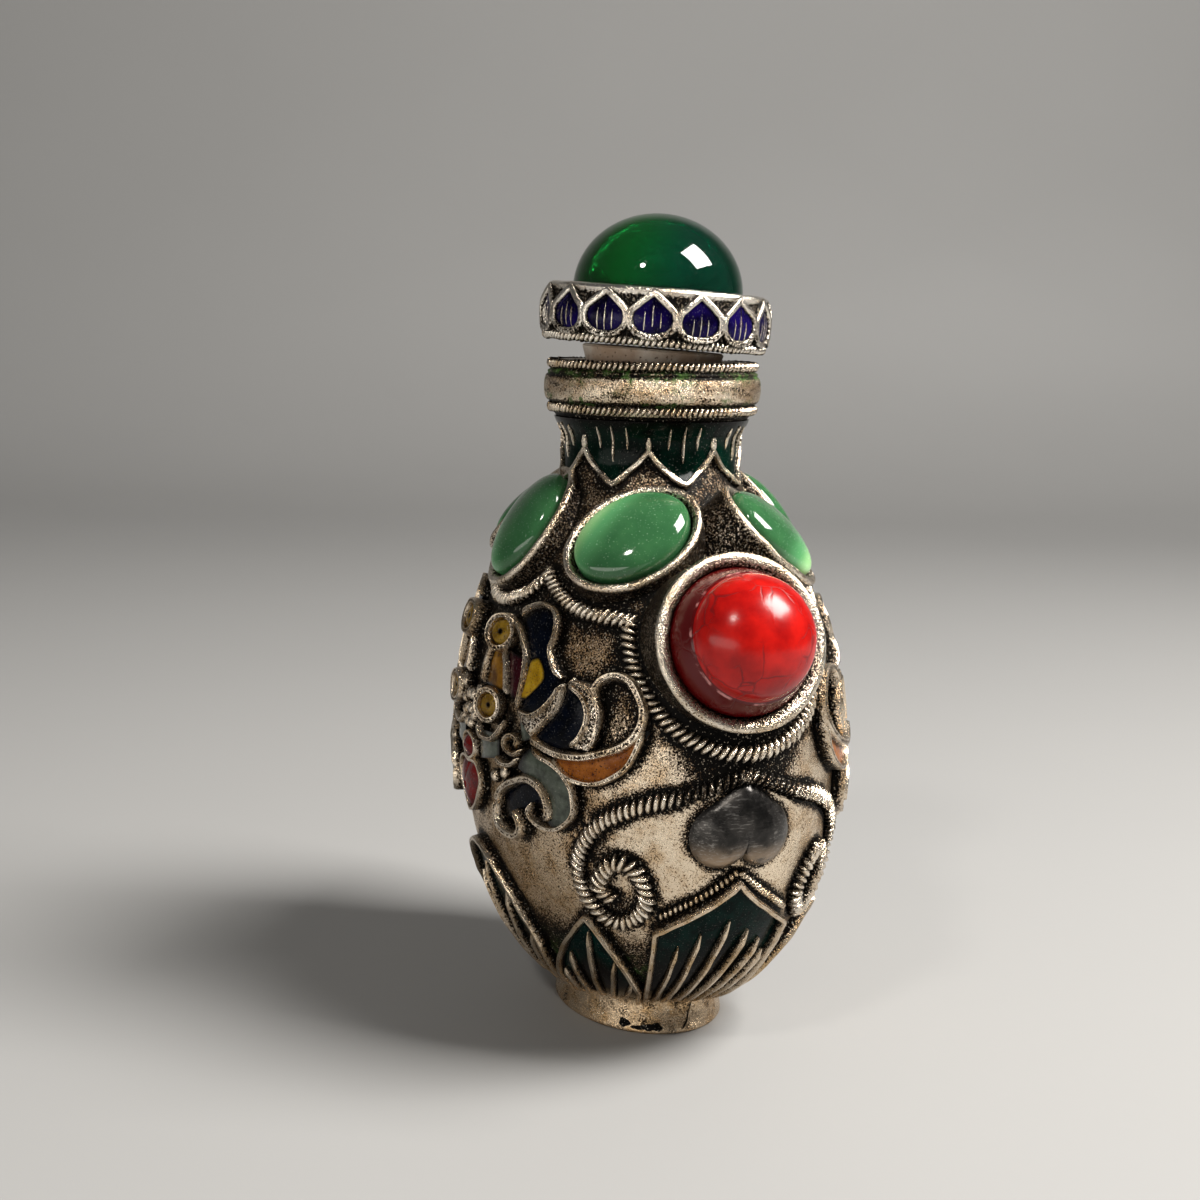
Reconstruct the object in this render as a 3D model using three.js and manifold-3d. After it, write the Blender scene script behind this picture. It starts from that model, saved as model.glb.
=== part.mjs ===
// Snuff bottle: a hollow oval bottle of cast metal with set stones, rope work, lotus petals and
// butterflies in relief, closed by a domed stopper that sits a little askew in the mouth.
// Millimetres, +Z up, foot on Z = 0. The broad faces look along -Y and +Y, the narrow sides
// along +X and -X. A place on the body is an angle round +Z from +X, in degrees, and a height.
import * as THREE from "three";
import { mergeVertices } from "three/addons/utils/BufferGeometryUtils.js";
import Module from "manifold-3d";

const wasm = await Module();
wasm.setup();

// Driving dimensions of the body: height, half width along X, half depth along Y.
const stations = [
  [0, 11.6, 8.3],
  [3.4, 10.7, 7.8],
  [4.9, 13.4, 10.0],
  [8.3, 17.9, 12.9],
  [13.3, 21.8, 15.3],
  [19.3, 24.6, 17.0],
  [26.3, 26.0, 17.6],
  [32.3, 25.9, 17.4],
  [38.3, 24.6, 16.5],
  [44.3, 21.2, 14.5],
  [48.8, 16.4, 11.9],
  [51.8, 12.6, 10.3],
  [55.5, 8.7, 8.6],
  [57.5, 8.5, 8.5],
  [60.6, 8.8, 8.8],
];
const bodySides = 24;
const collar = { bottom: 61.2, top: 66.4, radius: 10.9, lip: 10.2, bead: 0.9 };
const cavity = { wall: 2.0, floor: 5.6, ceiling: 52.5, sides: 14, rings: 5 };
const neckBore = { radius: 5.4, coneStart: 59.5, mouthRadius: 7.3 };
const footRecess = { depth: 1.2, rim: 1.8, sides: 16 };
const overcut = 0.5; // how far a cutter runs past the face it opens
const weld = 1e-4; // vertices nearer than this are one

// Stones in raised cups: a round one high on each narrow side, three oval ones over each face.
const fitGap = 0.3;
const coral = {
  height: 41.5,
  tilt: 18,
  radius: 6.8,
  cupWall: 0.85,
  lift: 1.5,
  wall: 2.4, // the stone's sloping side above the cup
  shoulder: 0.85, // of its radius, where the dome starts
  rise: 4.6,
  sides: 16,
};
const jade = {
  long: 5.8,
  short: 4.6,
  cupWall: 0.65,
  lift: 1.6,
  wall: 0,
  shoulder: 1,
  rise: 2.0,
  sides: 12,
};
const jadeDiagonal = { x: 13.2, y: 6.3, height: 49.3, tilt: 44, turn: 45 };
const jadeMiddle = { x: 0, y: 11.4, height: 49.3, tilt: 34, turn: 90 };
const askew = { jade_cabochon_back_right: 19 }; // a stone set out of true, in degrees of heading
const stoneBed = 0.3; // depth of the bed under a stone, below the body's skin
const cupDepth = 5; // how far a cup runs back into the body
const stoneRings = 3;

// Twisted rope lines laid on the body.
const rope = { radius: 0.62, sides: 4 };
const ropeRing = { across: 8.95, up: 10.0, from: 164, to: 376, steps: 11 };
const ropeUnderDiagonal = [[-68, 45.9], [-59, 44.2], [-51, 43.4], [-42, 43.1], [-34, 42.9]];
const ropeUnderMiddle = [[-112, 45.9], [-104, 43.9], [-90, 42.7], [-76, 43.9], [-68, 45.9]];
const volute = [
  [0.6, 30.0],
  [-7, 29.4],
  [-15, 28.3],
  [-30, 26.8],
  [-42, 24.1],
  [-47, 19.7],
  [-41, 15.7],
  [-33, 14.9],
  [-26.5, 17.3],
  [-30, 20.6],
  [-36.5, 21.0],
  [-40.5, 18.6],
  [-37, 17.4],
];
const ropeSteps = { diagonal: 3, middle: 5, volute: 12 };

// Skirt of ribbed lotus petals rising from the foot, in order round the body: middle and half
// width in degrees, heights of shoulder and tip, and how full the upper edge is.
const sidePetal = { half: 23.6, shoulder: 14.6, tip: 19.9, full: 0.82 };
const smallPetal = { half: 19.3, shoulder: 7.2, tip: 14.8, full: 1.7 };
const facePetal = { half: 24.3, shoulder: 10.0, tip: 18.4, full: 1.8 };
const footPetals = [
  { at: 0, ...sidePetal },
  { at: 44.6, ...smallPetal },
  { at: 90, ...facePetal },
  { at: 135.4, ...smallPetal },
  { at: 180, ...sidePetal },
  { at: 224.6, ...smallPetal },
  { at: 270, ...facePetal },
  { at: 315.4, ...smallPetal },
];
const petalSkirt = { base: 4.0, ribs: 2, rows: 3, ribHeight: 1.0, troughHeight: 0.45 };
const rowCrowding = 1.4; // rows of a skirt stand closer together towards its base
const neckSkirt = { petals: 8, top: 61.0, vee: 58.0, tip: 54.3, height: 0.3 };
const plateSink = 0.7; // how deep a raised plate is rooted in the body

// Heart under the rope ring on each narrow side.
const heart = {
  half: 16,
  top: 29.2,
  drop: 4.9,
  brow: 2.0, // how square the two upper corners are
  lobe: 21.2,
  lobeAt: 0.45, // of the half width
  notch: 1.1,
  height: 1.6,
  edge: 0.5,
};

// Butterfly on each broad face, the right half, as ridges of distance from the middle, height.
const butterfly = {
  lowerCurl: {
    half: 1.0,
    rise: 1.4,
    steps: 5,
    line: [[18.6, 36.2], [19.8, 38.0], [22.3, 35.6], [21.4, 32.0], [17.6, 30.8], [12.9, 31.2]],
  },
  leaf: { half: 2.1, rise: 1.3, steps: 2, line: [[13.6, 31.6], [16.9, 33.8], [17.2, 37.2]] },
  upperWing: { half: 2.4, rise: 1.3, steps: 2, line: [[10.4, 33.4], [12.8, 38.0], [9.4, 43.0]] },
  tailScroll: {
    half: 1.1,
    rise: 1.2,
    steps: 4,
    line: [[10.4, 28.2], [15.0, 28.6], [17.6, 26.3], [16.2, 23.9], [13.4, 24.2]],
  },
  feeler: { half: 1.2, rise: 1.5, steps: 3, line: [[2.2, 30.6], [4.4, 33.0], [4.0, 37.0], [4.8, 41.2]] },
  bodyPetal: { half: 1.6, rise: 1.4, steps: 2, line: [[2.0, 29.4], [2.9, 25.6], [1.5, 22.0]] },
};
const ridge = { sides: 4, endWidth: 0.35 }; // a ridge narrows to this share at its ends

// Stopper: a ring of pointed-arch cells under a stone dome, on a tapered plug.
const stopper = { base: 67.9, tilt: 3.3, leanTowards: 69 };
const capRing = { radius: 11.3, height: 5.3, bead: 0.7, bevel: 0.4, sides: 30 };
const capCell = { count: 15, half: 1.75, bottom: 0.9, shoulder: 2.7, tip: 4.3, depth: 0.5 };
const dome = { radius: 8.5, rise: 7.7, bed: 1.2, rings: 4, sides: 18 };
const plug = { topRadius: 7.1, endRadius: 4.7, length: 8.0, cover: 0.3, bevel: 0.4, sides: 14 };

const silver = new THREE.MeshStandardMaterial({ color: 0x8f8574, roughness: 0.42, metalness: 0.9 });
const redStone = new THREE.MeshStandardMaterial({ color: 0xb8141c, roughness: 0.25, metalness: 0 });
const greenStone = new THREE.MeshStandardMaterial({ color: 0x3f9a5c, roughness: 0.15, metalness: 0 });
const domeStone = new THREE.MeshStandardMaterial({ color: 0x0b5a33, roughness: 0.08, metalness: 0 });
const cork = new THREE.MeshStandardMaterial({ color: 0x9a8b74, roughness: 0.9, metalness: 0 });

const rad = THREE.MathUtils.degToRad;
const lerp = THREE.MathUtils.lerp;

// Half width and half depth at a height: a smooth curve through the stations.
function formAt(z) {
  const last = stations.length - 1;
  const slope = (i, k) => {
    const low = stations[Math.max(i - 1, 0)];
    const high = stations[Math.min(i + 1, last)];
    return (high[k] - low[k]) / (high[0] - low[0]);
  };
  let i = 0;
  while (i < last - 1 && z > stations[i + 1][0]) i += 1;
  const span = stations[i + 1][0] - stations[i][0];
  const s = THREE.MathUtils.clamp((z - stations[i][0]) / span, 0, 1);
  const value = (k) =>
    stations[i][k] * (1 + 2 * s) * (1 - s) ** 2 +
    stations[i + 1][k] * s * s * (3 - 2 * s) +
    span * (slope(i, k) * s * (1 - s) ** 2 + slope(i + 1, k) * s * s * (s - 1));
  return { a: value(1), b: value(2) };
}

function skin(angle, z) {
  const { a, b } = formAt(z);
  return new THREE.Vector3(a * Math.cos(rad(angle)), b * Math.sin(rad(angle)), z);
}

function skinNormal(angle, z) {
  const step = 0.01;
  const round = skin(angle + step, z).sub(skin(angle - step, z));
  const upward = skin(angle, z + step).sub(skin(angle, z - step));
  return round.cross(upward).normalize();
}

function above(angle, z, height) {
  return skin(angle, z).addScaledVector(skinNormal(angle, z), height);
}

// A closed mesh as a solid, and a solid as a mesh.
function toSolid(geometry) {
  const bare = geometry.clone();
  bare.deleteAttribute("normal");
  bare.deleteAttribute("uv");
  const merged = mergeVertices(bare, weld);
  const mesh = new wasm.Mesh({
    numProp: 3,
    vertProperties: merged.attributes.position.array,
    triVerts: new Uint32Array(merged.index.array),
  });
  return new wasm.Manifold(mesh);
}

function toGeometry(solid) {
  const { vertProperties, triVerts } = solid.getMesh();
  const geometry = new THREE.BufferGeometry();
  geometry.setAttribute("position", new THREE.BufferAttribute(vertProperties, 3));
  geometry.setIndex(new THREE.BufferAttribute(triVerts, 1));
  geometry.computeVertexNormals();
  return geometry;
}

// A profile of radius, height turned about +Z.
function turned(profile, sides) {
  const points = profile.map(([radius, height]) => new THREE.Vector2(radius, height));
  return new THREE.LatheGeometry(points, sides).rotateX(Math.PI / 2);
}

// Every vertex of a geometry moved by a function.
function reshaped(geometry, move) {
  const position = geometry.attributes.position;
  const point = new THREE.Vector3();
  for (let i = 0; i < position.count; i += 1) {
    point.fromBufferAttribute(position, i);
    position.setXYZ(i, ...move(point).toArray());
  }
  return geometry;
}

// A turned form made oval, with the body's depth to width at each height.
function oval(profile, sides) {
  return reshaped(turned(profile, sides), (p) => {
    const { a, b } = formAt(p.z);
    return new THREE.Vector3(p.x, (p.y * b) / a, p.z);
  });
}

// A ridge or cord laid on the body along a path of angle, height, half sunk in the skin.
function laidOn(path, half, rise, steps, sides) {
  const step = 1e-3;
  const at = (q) => above(path(q).x, path(q).y, 0);
  return reshaped(new THREE.CylinderGeometry(1, 1, 1, sides, steps), (p) => {
    const q = p.y + 0.5;
    const spot = path(q);
    const normal = skinNormal(spot.x, spot.y);
    const along = at(Math.min(q + step, 1)).sub(at(Math.max(q - step, 0))).normalize();
    const side = along.clone().cross(normal);
    return at(q).addScaledVector(side, p.x * half(q)).addScaledVector(normal, p.z * rise);
  });
}

// A raised plate: columns p and rows q, each -1 to 1, placed on the body and lifted by height.
function plateOn(columns, rows, place, height) {
  return reshaped(new THREE.BoxGeometry(2, 2, 2, columns, rows, 1), (p) => {
    const spot = place(p.x, p.y);
    return above(spot.x, spot.y, p.z > 0 ? height(p.x, p.y) : -plateSink);
  });
}

function through(points) {
  const spline = new THREE.SplineCurve(points.map(([u, v]) => new THREE.Vector2(u, v)));
  return (q) => spline.getPoint(q);
}

// The four mirrored places of a path given in the quarter between -Y and +X.
function mirrored(path) {
  const swap = (from, sign) => (q) => {
    const spot = path(q);
    return new THREE.Vector2(from + sign * spot.x, spot.y);
  };
  return [swap(0, 1), swap(0, -1), swap(180, 1), swap(180, -1)];
}

// Local axes of a stone: Z out of the body, tilted up, and the long way turned from level.
function stoneMatrix(centre, heading, tilt, turn) {
  const out = new THREE.Vector3(Math.cos(heading), Math.sin(heading), 0);
  const right = new THREE.Vector3(-out.y, out.x, 0);
  const normal = out.clone().multiplyScalar(Math.cos(rad(tilt)));
  normal.z = Math.sin(rad(tilt));
  const up = normal.clone().cross(right);
  const matrix = new THREE.Matrix4().makeBasis(right, up, normal).setPosition(centre);
  return matrix.multiply(new THREE.Matrix4().makeRotationZ(rad(turn)));
}

function stoneList() {
  const stones = [];
  for (const [side, sign] of [["right", 1], ["left", -1]]) {
    const centre = new THREE.Vector3(sign * formAt(coral.height).a, 0, coral.height);
    stones.push({
      name: `coral_cabochon_${side}`,
      matrix: stoneMatrix(centre, sign > 0 ? 0 : Math.PI, coral.tilt, 0),
      size: { ...coral, long: coral.radius, short: coral.radius },
      material: redStone,
    });
  }
  const jades = [["mid", 0, jadeMiddle], ["right", 1, jadeDiagonal], ["left", -1, jadeDiagonal]];
  for (const [face, facing] of [["front", -1], ["back", 1]]) {
    for (const [side, sign, place] of jades) {
      const x = sign * place.x;
      const y = facing * place.y;
      const { a, b } = formAt(place.height);
      const name = `jade_cabochon_${face}_${side}`;
      stones.push({
        name,
        matrix: stoneMatrix(
          new THREE.Vector3(x, y, place.height),
          Math.atan2(y / (b * b), x / (a * a)) + rad(askew[name] ?? 0),
          place.tilt,
          sign * facing > 0 ? -place.turn : place.turn,
        ),
        size: jade,
        material: greenStone,
      });
    }
  }
  return stones;
}

// The cup that stands proud of the body round a stone, and the bed cut in it.
function stoneCup({ matrix, size }) {
  const rim = fitGap + size.cupWall;
  const cup = new THREE.CylinderGeometry(1, 1, cupDepth + size.lift, size.sides);
  cup.rotateX(Math.PI / 2).translate(0, 0, (size.lift - cupDepth) / 2);
  return cup.scale(size.long + rim, size.short + rim, 1).applyMatrix4(matrix);
}

function stoneBedCut({ matrix, size }) {
  const height = stoneBed + size.lift + overcut;
  const cut = new THREE.CylinderGeometry(1, 1, height, size.sides);
  cut.rotateX(Math.PI / 2).translate(0, 0, height / 2 - stoneBed);
  return cut.scale(size.long + fitGap, size.short + fitGap, 1).applyMatrix4(matrix);
}

// A stone: a straight girdle in its cup, a sloping side and a rounded dome, over a flat back.
function stone({ matrix, size }) {
  const { lift, wall, shoulder, rise } = size;
  const profile = [[0, fitGap - stoneBed], [1, fitGap - stoneBed]];
  if (wall > 0) profile.push([1, lift]);
  for (let i = 0; i < stoneRings; i += 1) {
    const angle = (i / stoneRings) * (Math.PI / 2);
    profile.push([shoulder * Math.cos(angle), lift + wall + rise * Math.sin(angle)]);
  }
  profile.push([0, lift + wall + rise]);
  return turned(profile, size.sides).scale(size.long, size.short, 1).applyMatrix4(matrix);
}

// Outer form: foot, belly, shoulder, neck and collar in one turned profile.
function outerForm() {
  const profile = [[0, 0]];
  for (const [z, halfWidth] of stations) profile.push([halfWidth, z]);
  profile.push([collar.lip, collar.bottom]);
  profile.push([collar.radius, collar.bottom + collar.bead]);
  profile.push([collar.radius, collar.top - collar.bead]);
  profile.push([collar.lip, collar.top]);
  profile.push([0, collar.top]);
  return oval(profile, bodySides);
}

// Inside: the body's form less its wall, then the neck's bore, flared at the mouth.
function innerForm() {
  const { wall, floor, ceiling, rings, sides } = cavity;
  const profile = [[0, floor]];
  for (let i = 0; i <= rings; i += 1) {
    const z = lerp(floor, ceiling, i / rings);
    profile.push([Math.max(formAt(z).a - wall, neckBore.radius), z]);
  }
  profile.push([neckBore.radius, ceiling + wall]);
  profile.push([neckBore.radius, neckBore.coneStart]);
  profile.push([neckBore.mouthRadius, collar.top]);
  profile.push([neckBore.mouthRadius, collar.top + overcut]);
  profile.push([0, collar.top + overcut]);
  return oval(profile, sides);
}

function footHollow() {
  const { depth, rim, sides } = footRecess;
  const radius = formAt(0).a - rim;
  return oval([[0, -overcut], [radius, -overcut], [radius, depth], [0, depth]], sides);
}

function ropeWork() {
  const corals = stoneList().filter(({ name }) => name.startsWith("coral"));
  const middle = mirrored(through(ropeUnderMiddle));
  const lines = [
    ...corals.map(({ matrix }) => [ringRound(matrix), ropeRing.steps]),
    ...mirrored(through(ropeUnderDiagonal)).map((path) => [path, ropeSteps.diagonal]),
    ...mirrored(through(volute)).map((path) => [path, ropeSteps.volute]),
    [middle[0], ropeSteps.middle],
    [middle[1], ropeSteps.middle],
  ];
  return lines.map(([path, steps]) => laidOn(path, () => rope.radius, rope.radius, steps, rope.sides));
}

// The path of the open rope ring round a round stone, on the body under the stone's own axes.
function ringRound(matrix) {
  return (q) => {
    const turn = rad(lerp(ropeRing.from, ropeRing.to, q));
    return dropped(matrix, [ropeRing.across * Math.cos(turn), ropeRing.up * Math.sin(turn)]);
  };
}

// Where a point of a stone's plane meets the body's skin, by halving the way along the axis.
function dropped(matrix, [u, v]) {
  const reach = coral.radius * 2;
  const halvings = 40;
  let outside = reach;
  let inside = -reach;
  const point = new THREE.Vector3();
  for (let i = 0; i < halvings; i += 1) {
    const middle = (outside + inside) / 2;
    point.set(u, v, middle).applyMatrix4(matrix);
    const { a, b } = formAt(point.z);
    if (Math.hypot(point.x / a, point.y / b) > 1) outside = middle;
    else inside = middle;
  }
  const { a, b } = formAt(point.z);
  const angle = THREE.MathUtils.radToDeg(Math.atan2(point.y / b, point.x / a));
  return new THREE.Vector2(angle, point.z);
}

// A skirt round the body: columns of angle, lower and upper edge, and a height off the skin.
// Its two caps close on the axis, inside the body.
function skirt(columns, rows, height) {
  const form = new THREE.CylinderGeometry(1, 1, 1, columns.length, rows).rotateX(Math.PI / 2);
  return reshaped(form, (p) => {
    const up = p.z + 0.5;
    const turn = Math.atan2(p.y, p.x) / (2 * Math.PI) + 1;
    const column = columns[Math.round(turn * columns.length) % columns.length];
    const z = lerp(column.low, column.high, up ** rowCrowding);
    const onAxis = Math.hypot(p.x, p.y) < 0.5;
    return onAxis ? new THREE.Vector3(0, 0, z) : above(column.angle, z, height(column, up));
  });
}

function footSkirt() {
  const { base, ribs, rows, ribHeight, troughHeight } = petalSkirt;
  const columns = [];
  const strips = 2 * (ribs + 1);
  for (const { at, half, shoulder, tip, full } of footPetals) {
    for (let i = 0; i <= strips; i += 1) {
      const p = (2 * i) / strips - 1;
      const high = shoulder + (tip - shoulder) * (1 - Math.abs(p) ** full);
      columns.push({ angle: at + p * half, low: base, high, isRib: i % 2 === 0 });
    }
  }
  return skirt(columns, rows, ({ isRib }, up) => (isRib || up > 0.99 ? ribHeight : troughHeight));
}

function neckPetals() {
  const { petals, top, vee, tip, height } = neckSkirt;
  const columns = [];
  for (let i = 0; i < 2 * petals; i += 1) {
    columns.push({ angle: (i * 180) / petals, low: i % 2 === 0 ? tip : vee, high: top });
  }
  return skirt(columns, 1, () => height);
}

function sideHeart(centre) {
  const { half, top, drop, brow, lobe, lobeAt, notch, height, edge } = heart;
  const place = (p, q) => {
    const s = Math.abs(p);
    const high = top - drop * s ** brow;
    const round = Math.max(s - lobeAt, 0) / (1 - lobeAt);
    const cleft = Math.max(1 - s / lobeAt, 0);
    const side = (top - drop - lobe) * (1 - Math.sqrt(1 - round * round));
    const low = lobe + notch * cleft ** 2 + side;
    return new THREE.Vector2(centre + p * half, lerp(low, high, (q + 1) / 2));
  };
  return plateOn(4, 4, place, (p, q) => edge + (height - edge) * (1 - p * p) * (1 - q * q));
}

// Butterfly ridges: leaf-shaped in plan, so each narrows to its ends.
function butterflies() {
  const ridges = [];
  for (const { half, rise, steps, line } of Object.values(butterfly)) {
    const flat = through(line);
    const path = (q) => {
      const spot = flat(q);
      const angle = -THREE.MathUtils.radToDeg(Math.acos(spot.x / formAt(spot.y).a));
      return new THREE.Vector2(angle, spot.y);
    };
    const halfAt = (q) => half * lerp(ridge.endWidth, 1, Math.sin(Math.PI * q));
    for (const copy of mirrored(path)) ridges.push(laidOn(copy, halfAt, rise, steps, ridge.sides));
  }
  return ridges;
}

function bottleBody() {
  const stones = stoneList();
  const raised = [
    footSkirt(),
    neckPetals(),
    ...stones.map(stoneCup),
    ...ropeWork(),
    ...butterflies(),
    sideHeart(0),
    sideHeart(180),
  ];
  const cuts = [innerForm(), footHollow(), ...stones.map(stoneBedCut)];
  let body = toSolid(outerForm());
  for (const geometry of raised) body = body.add(toSolid(geometry));
  for (const geometry of cuts) body = body.subtract(toSolid(geometry));
  return toGeometry(body);
}

function stopperCap() {
  const { radius, height, bead, bevel, sides } = capRing;
  const bedRadius = dome.radius + fitGap;
  const ring = turned([
    [0, 0],
    [radius - bead, 0],
    [radius, bead],
    [radius, height - bevel],
    [radius - bevel, height],
    [bedRadius, height],
    [bedRadius, height - dome.bed],
    [0, height - dome.bed],
  ], sides);
  let cap = toSolid(ring);
  const { count, half, bottom, shoulder, tip, depth } = capCell;
  const arch = new THREE.Shape();
  arch.moveTo(-half, bottom).lineTo(half, bottom).lineTo(half, shoulder);
  arch.lineTo(0, tip).lineTo(-half, shoulder).closePath();
  for (let i = 0; i < count; i += 1) {
    const cell = new THREE.ExtrudeGeometry(arch, { depth: depth + overcut, bevelEnabled: false });
    cell.rotateX(Math.PI / 2).translate(0, depth - radius, 0);
    cap = cap.subtract(toSolid(cell.rotateZ((i * 2 * Math.PI) / count)));
  }
  return toGeometry(cap);
}

function stopperDome() {
  const foot = capRing.height - dome.bed + fitGap;
  const profile = [[0, foot], [dome.radius, foot]];
  for (let i = 0; i < dome.rings; i += 1) {
    const angle = (i / dome.rings) * (Math.PI / 2);
    profile.push([dome.radius * Math.cos(angle), capRing.height + dome.rise * Math.sin(angle)]);
  }
  profile.push([0, capRing.height + dome.rise]);
  return turned(profile, dome.sides);
}

function stopperPlug() {
  const top = -plug.cover;
  const end = top - plug.length;
  return turned([
    [0, end],
    [plug.endRadius - plug.bevel, end],
    [plug.endRadius, end + plug.bevel],
    [plug.topRadius, top],
    [0, top],
  ], plug.sides);
}

function named(name, geometry, material) {
  const mesh = new THREE.Mesh(geometry, material);
  mesh.name = name;
  return mesh;
}

const snuffBottle = new THREE.Group();
snuffBottle.add(named("bottle_body", bottleBody(), silver));
for (const setting of stoneList()) {
  snuffBottle.add(named(setting.name, stone(setting), setting.material));
}

const stopperGroup = new THREE.Group();
const lean = rad(stopper.leanTowards);
const leanAxis = new THREE.Vector3(-Math.sin(lean), Math.cos(lean), 0);
stopperGroup.position.z = stopper.base;
stopperGroup.quaternion.setFromAxisAngle(leanAxis, rad(stopper.tilt));
stopperGroup.add(named("stopper_cap", stopperCap(), silver));
stopperGroup.add(named("stopper_dome", stopperDome(), domeStone));
stopperGroup.add(named("stopper_plug", stopperPlug(), cork));
snuffBottle.add(stopperGroup);

export default snuffBottle;
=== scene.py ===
import math

import bmesh
import bpy
from mathutils import Matrix, Vector, noise
from mathutils.kdtree import KDTree


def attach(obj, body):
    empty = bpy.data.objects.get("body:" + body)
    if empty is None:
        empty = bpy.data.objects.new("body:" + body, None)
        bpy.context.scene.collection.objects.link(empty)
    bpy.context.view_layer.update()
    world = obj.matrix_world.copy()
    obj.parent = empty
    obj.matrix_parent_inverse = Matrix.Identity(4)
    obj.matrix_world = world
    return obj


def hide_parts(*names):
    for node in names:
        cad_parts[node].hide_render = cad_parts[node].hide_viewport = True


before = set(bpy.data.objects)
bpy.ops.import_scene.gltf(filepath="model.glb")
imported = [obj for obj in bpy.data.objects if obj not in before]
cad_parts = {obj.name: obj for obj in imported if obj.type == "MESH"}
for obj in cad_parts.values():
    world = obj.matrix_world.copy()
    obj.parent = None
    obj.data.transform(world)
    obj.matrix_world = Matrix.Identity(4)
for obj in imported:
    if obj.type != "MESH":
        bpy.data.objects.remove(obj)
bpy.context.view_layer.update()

mm = 0.001  # sizes below are in millimetres, angles in degrees
mergeGap = 1e-7  # metres, between points that are one
noise.seed_set(11)  # the same unevenness in every run

bottleForm = {
    # height, half width along X, half depth along Y
    "stations": [
        (0, 11.6, 8.3), (3.4, 10.7, 7.8), (4.9, 13.4, 10.0), (8.3, 17.9, 12.9), (13.3, 21.8, 15.3),
        (19.3, 24.6, 17.0), (26.3, 26.0, 17.6), (32.3, 25.9, 17.4), (38.3, 24.6, 16.5),
        (44.3, 21.2, 14.5), (48.8, 16.4, 11.9), (51.8, 12.6, 10.3), (55.5, 8.7, 8.6),
        (57.5, 8.45, 8.45), (59.2, 8.6, 8.6), (60.6, 9.5, 9.5),
    ],
    "sides": 52,
    "ringStep": 1.55,
    "lowRings": [0.4, 1.4, 2.4, 3.1, 3.45, 3.8, 4.3, 4.9, 5.7, 6.8],
    "evenRings": (8.3, 60.6),
    "smoothing": 2,
    "wall": 2.0,
    "floor": 5.6,
    "ceiling": 52.5,
    "boreRadius": 5.4,
    "boreEnd": 55.5,
}
reliefMarks = []  # points along every raised line, with its half width, for the dark hollows beside it


def mix(low, high, share):
    return low + (high - low) * share


def slopeAt(index, column):
    rows = bottleForm["stations"]
    low = rows[max(index - 1, 0)]
    high = rows[min(index + 1, len(rows) - 1)]
    return (high[column] - low[column]) / (high[0] - low[0])


def formAt(z):
    # half width and half depth of the bottle at a height
    rows = bottleForm["stations"]
    i = 0
    while i < len(rows) - 2 and z > rows[i + 1][0]:
        i += 1
    span = rows[i + 1][0] - rows[i][0]
    s = min(max((z - rows[i][0]) / span, 0), 1)
    sizes = []
    for column in (1, 2):
        level = rows[i][column] * (1 + 2 * s) * (1 - s) ** 2 + rows[i + 1][column] * s * s * (3 - 2 * s)
        lean = slopeAt(i, column) * s * (1 - s) ** 2 + slopeAt(i + 1, column) * s * s * (s - 1)
        sizes.append(level + span * lean)
    return sizes


def skinPoint(angle, z):
    a, b = formAt(z)
    turn = math.radians(angle)
    return Vector((a * math.cos(turn), b * math.sin(turn), z))


def skinNormal(angle, z):
    step = 0.05
    around = skinPoint(angle + step, z) - skinPoint(angle - step, z)
    upward = skinPoint(angle, z + step) - skinPoint(angle, z - step)
    return around.cross(upward).normalized()


def above(angle, z, lift):
    return skinPoint(angle, z) + skinNormal(angle, z) * lift


def faceSpot(x, z):
    # angle and height of a place on the front face, by its distance from the middle
    return -math.degrees(math.acos(min(max(x / formAt(z)[0], -1), 1))), z


def smoothLine(points, steps, closed=False):
    # even points along a soft curve through the given ones
    count = len(points)
    spans = count if closed else count - 1
    raw = []
    for i in range(spans):
        ends = []
        for k in (i - 1, i, i + 1, i + 2):
            ends.append(points[k % count] if closed else points[min(max(k, 0), count - 1)])
        for j in range(8):
            s = j / 8
            spot = []
            for c in range(len(points[0])):
                p0, p1, p2, p3 = (end[c] for end in ends)
                bend = (2 * p0 - 5 * p1 + 4 * p2 - p3) * s * s + (3 * p1 - p0 - 3 * p2 + p3) * s ** 3
                spot.append(0.5 * (2 * p1 + (p2 - p0) * s + bend))
            raw.append(tuple(spot))
    raw.append(tuple(points[0] if closed else points[-1]))
    lengths = [0.0]
    for low, high in zip(raw, raw[1:]):
        lengths.append(lengths[-1] + math.dist(low, high))
    line = []
    k = 0
    for i in range(steps if closed else steps + 1):
        want = lengths[-1] * i / steps
        while k < len(lengths) - 2 and lengths[k + 1] < want:
            k += 1
        share = (want - lengths[k]) / max(lengths[k + 1] - lengths[k], 1e-9)
        line.append(tuple(mix(u, v, share) for u, v in zip(raw[k], raw[k + 1])))
    return line


def lineFrames(points, normals, closed=False):
    # point, side, normal and direction at each step of a line in space
    frames = []
    count = len(points)
    for i in range(count):
        if closed:
            along = points[(i + 1) % count] - points[i - 1]
        else:
            along = points[min(i + 1, count - 1)] - points[max(i - 1, 0)]
        along = along.normalized()
        normal = (normals[i] - along * normals[i].dot(along)).normalized()
        frames.append((points[i], normal.cross(along), normal, along))
    return frames


def skinFrames(spots, closed=False):
    points = [skinPoint(angle, z) for angle, z in spots]
    return lineFrames(points, [skinNormal(angle, z) for angle, z in spots], closed)


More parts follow.
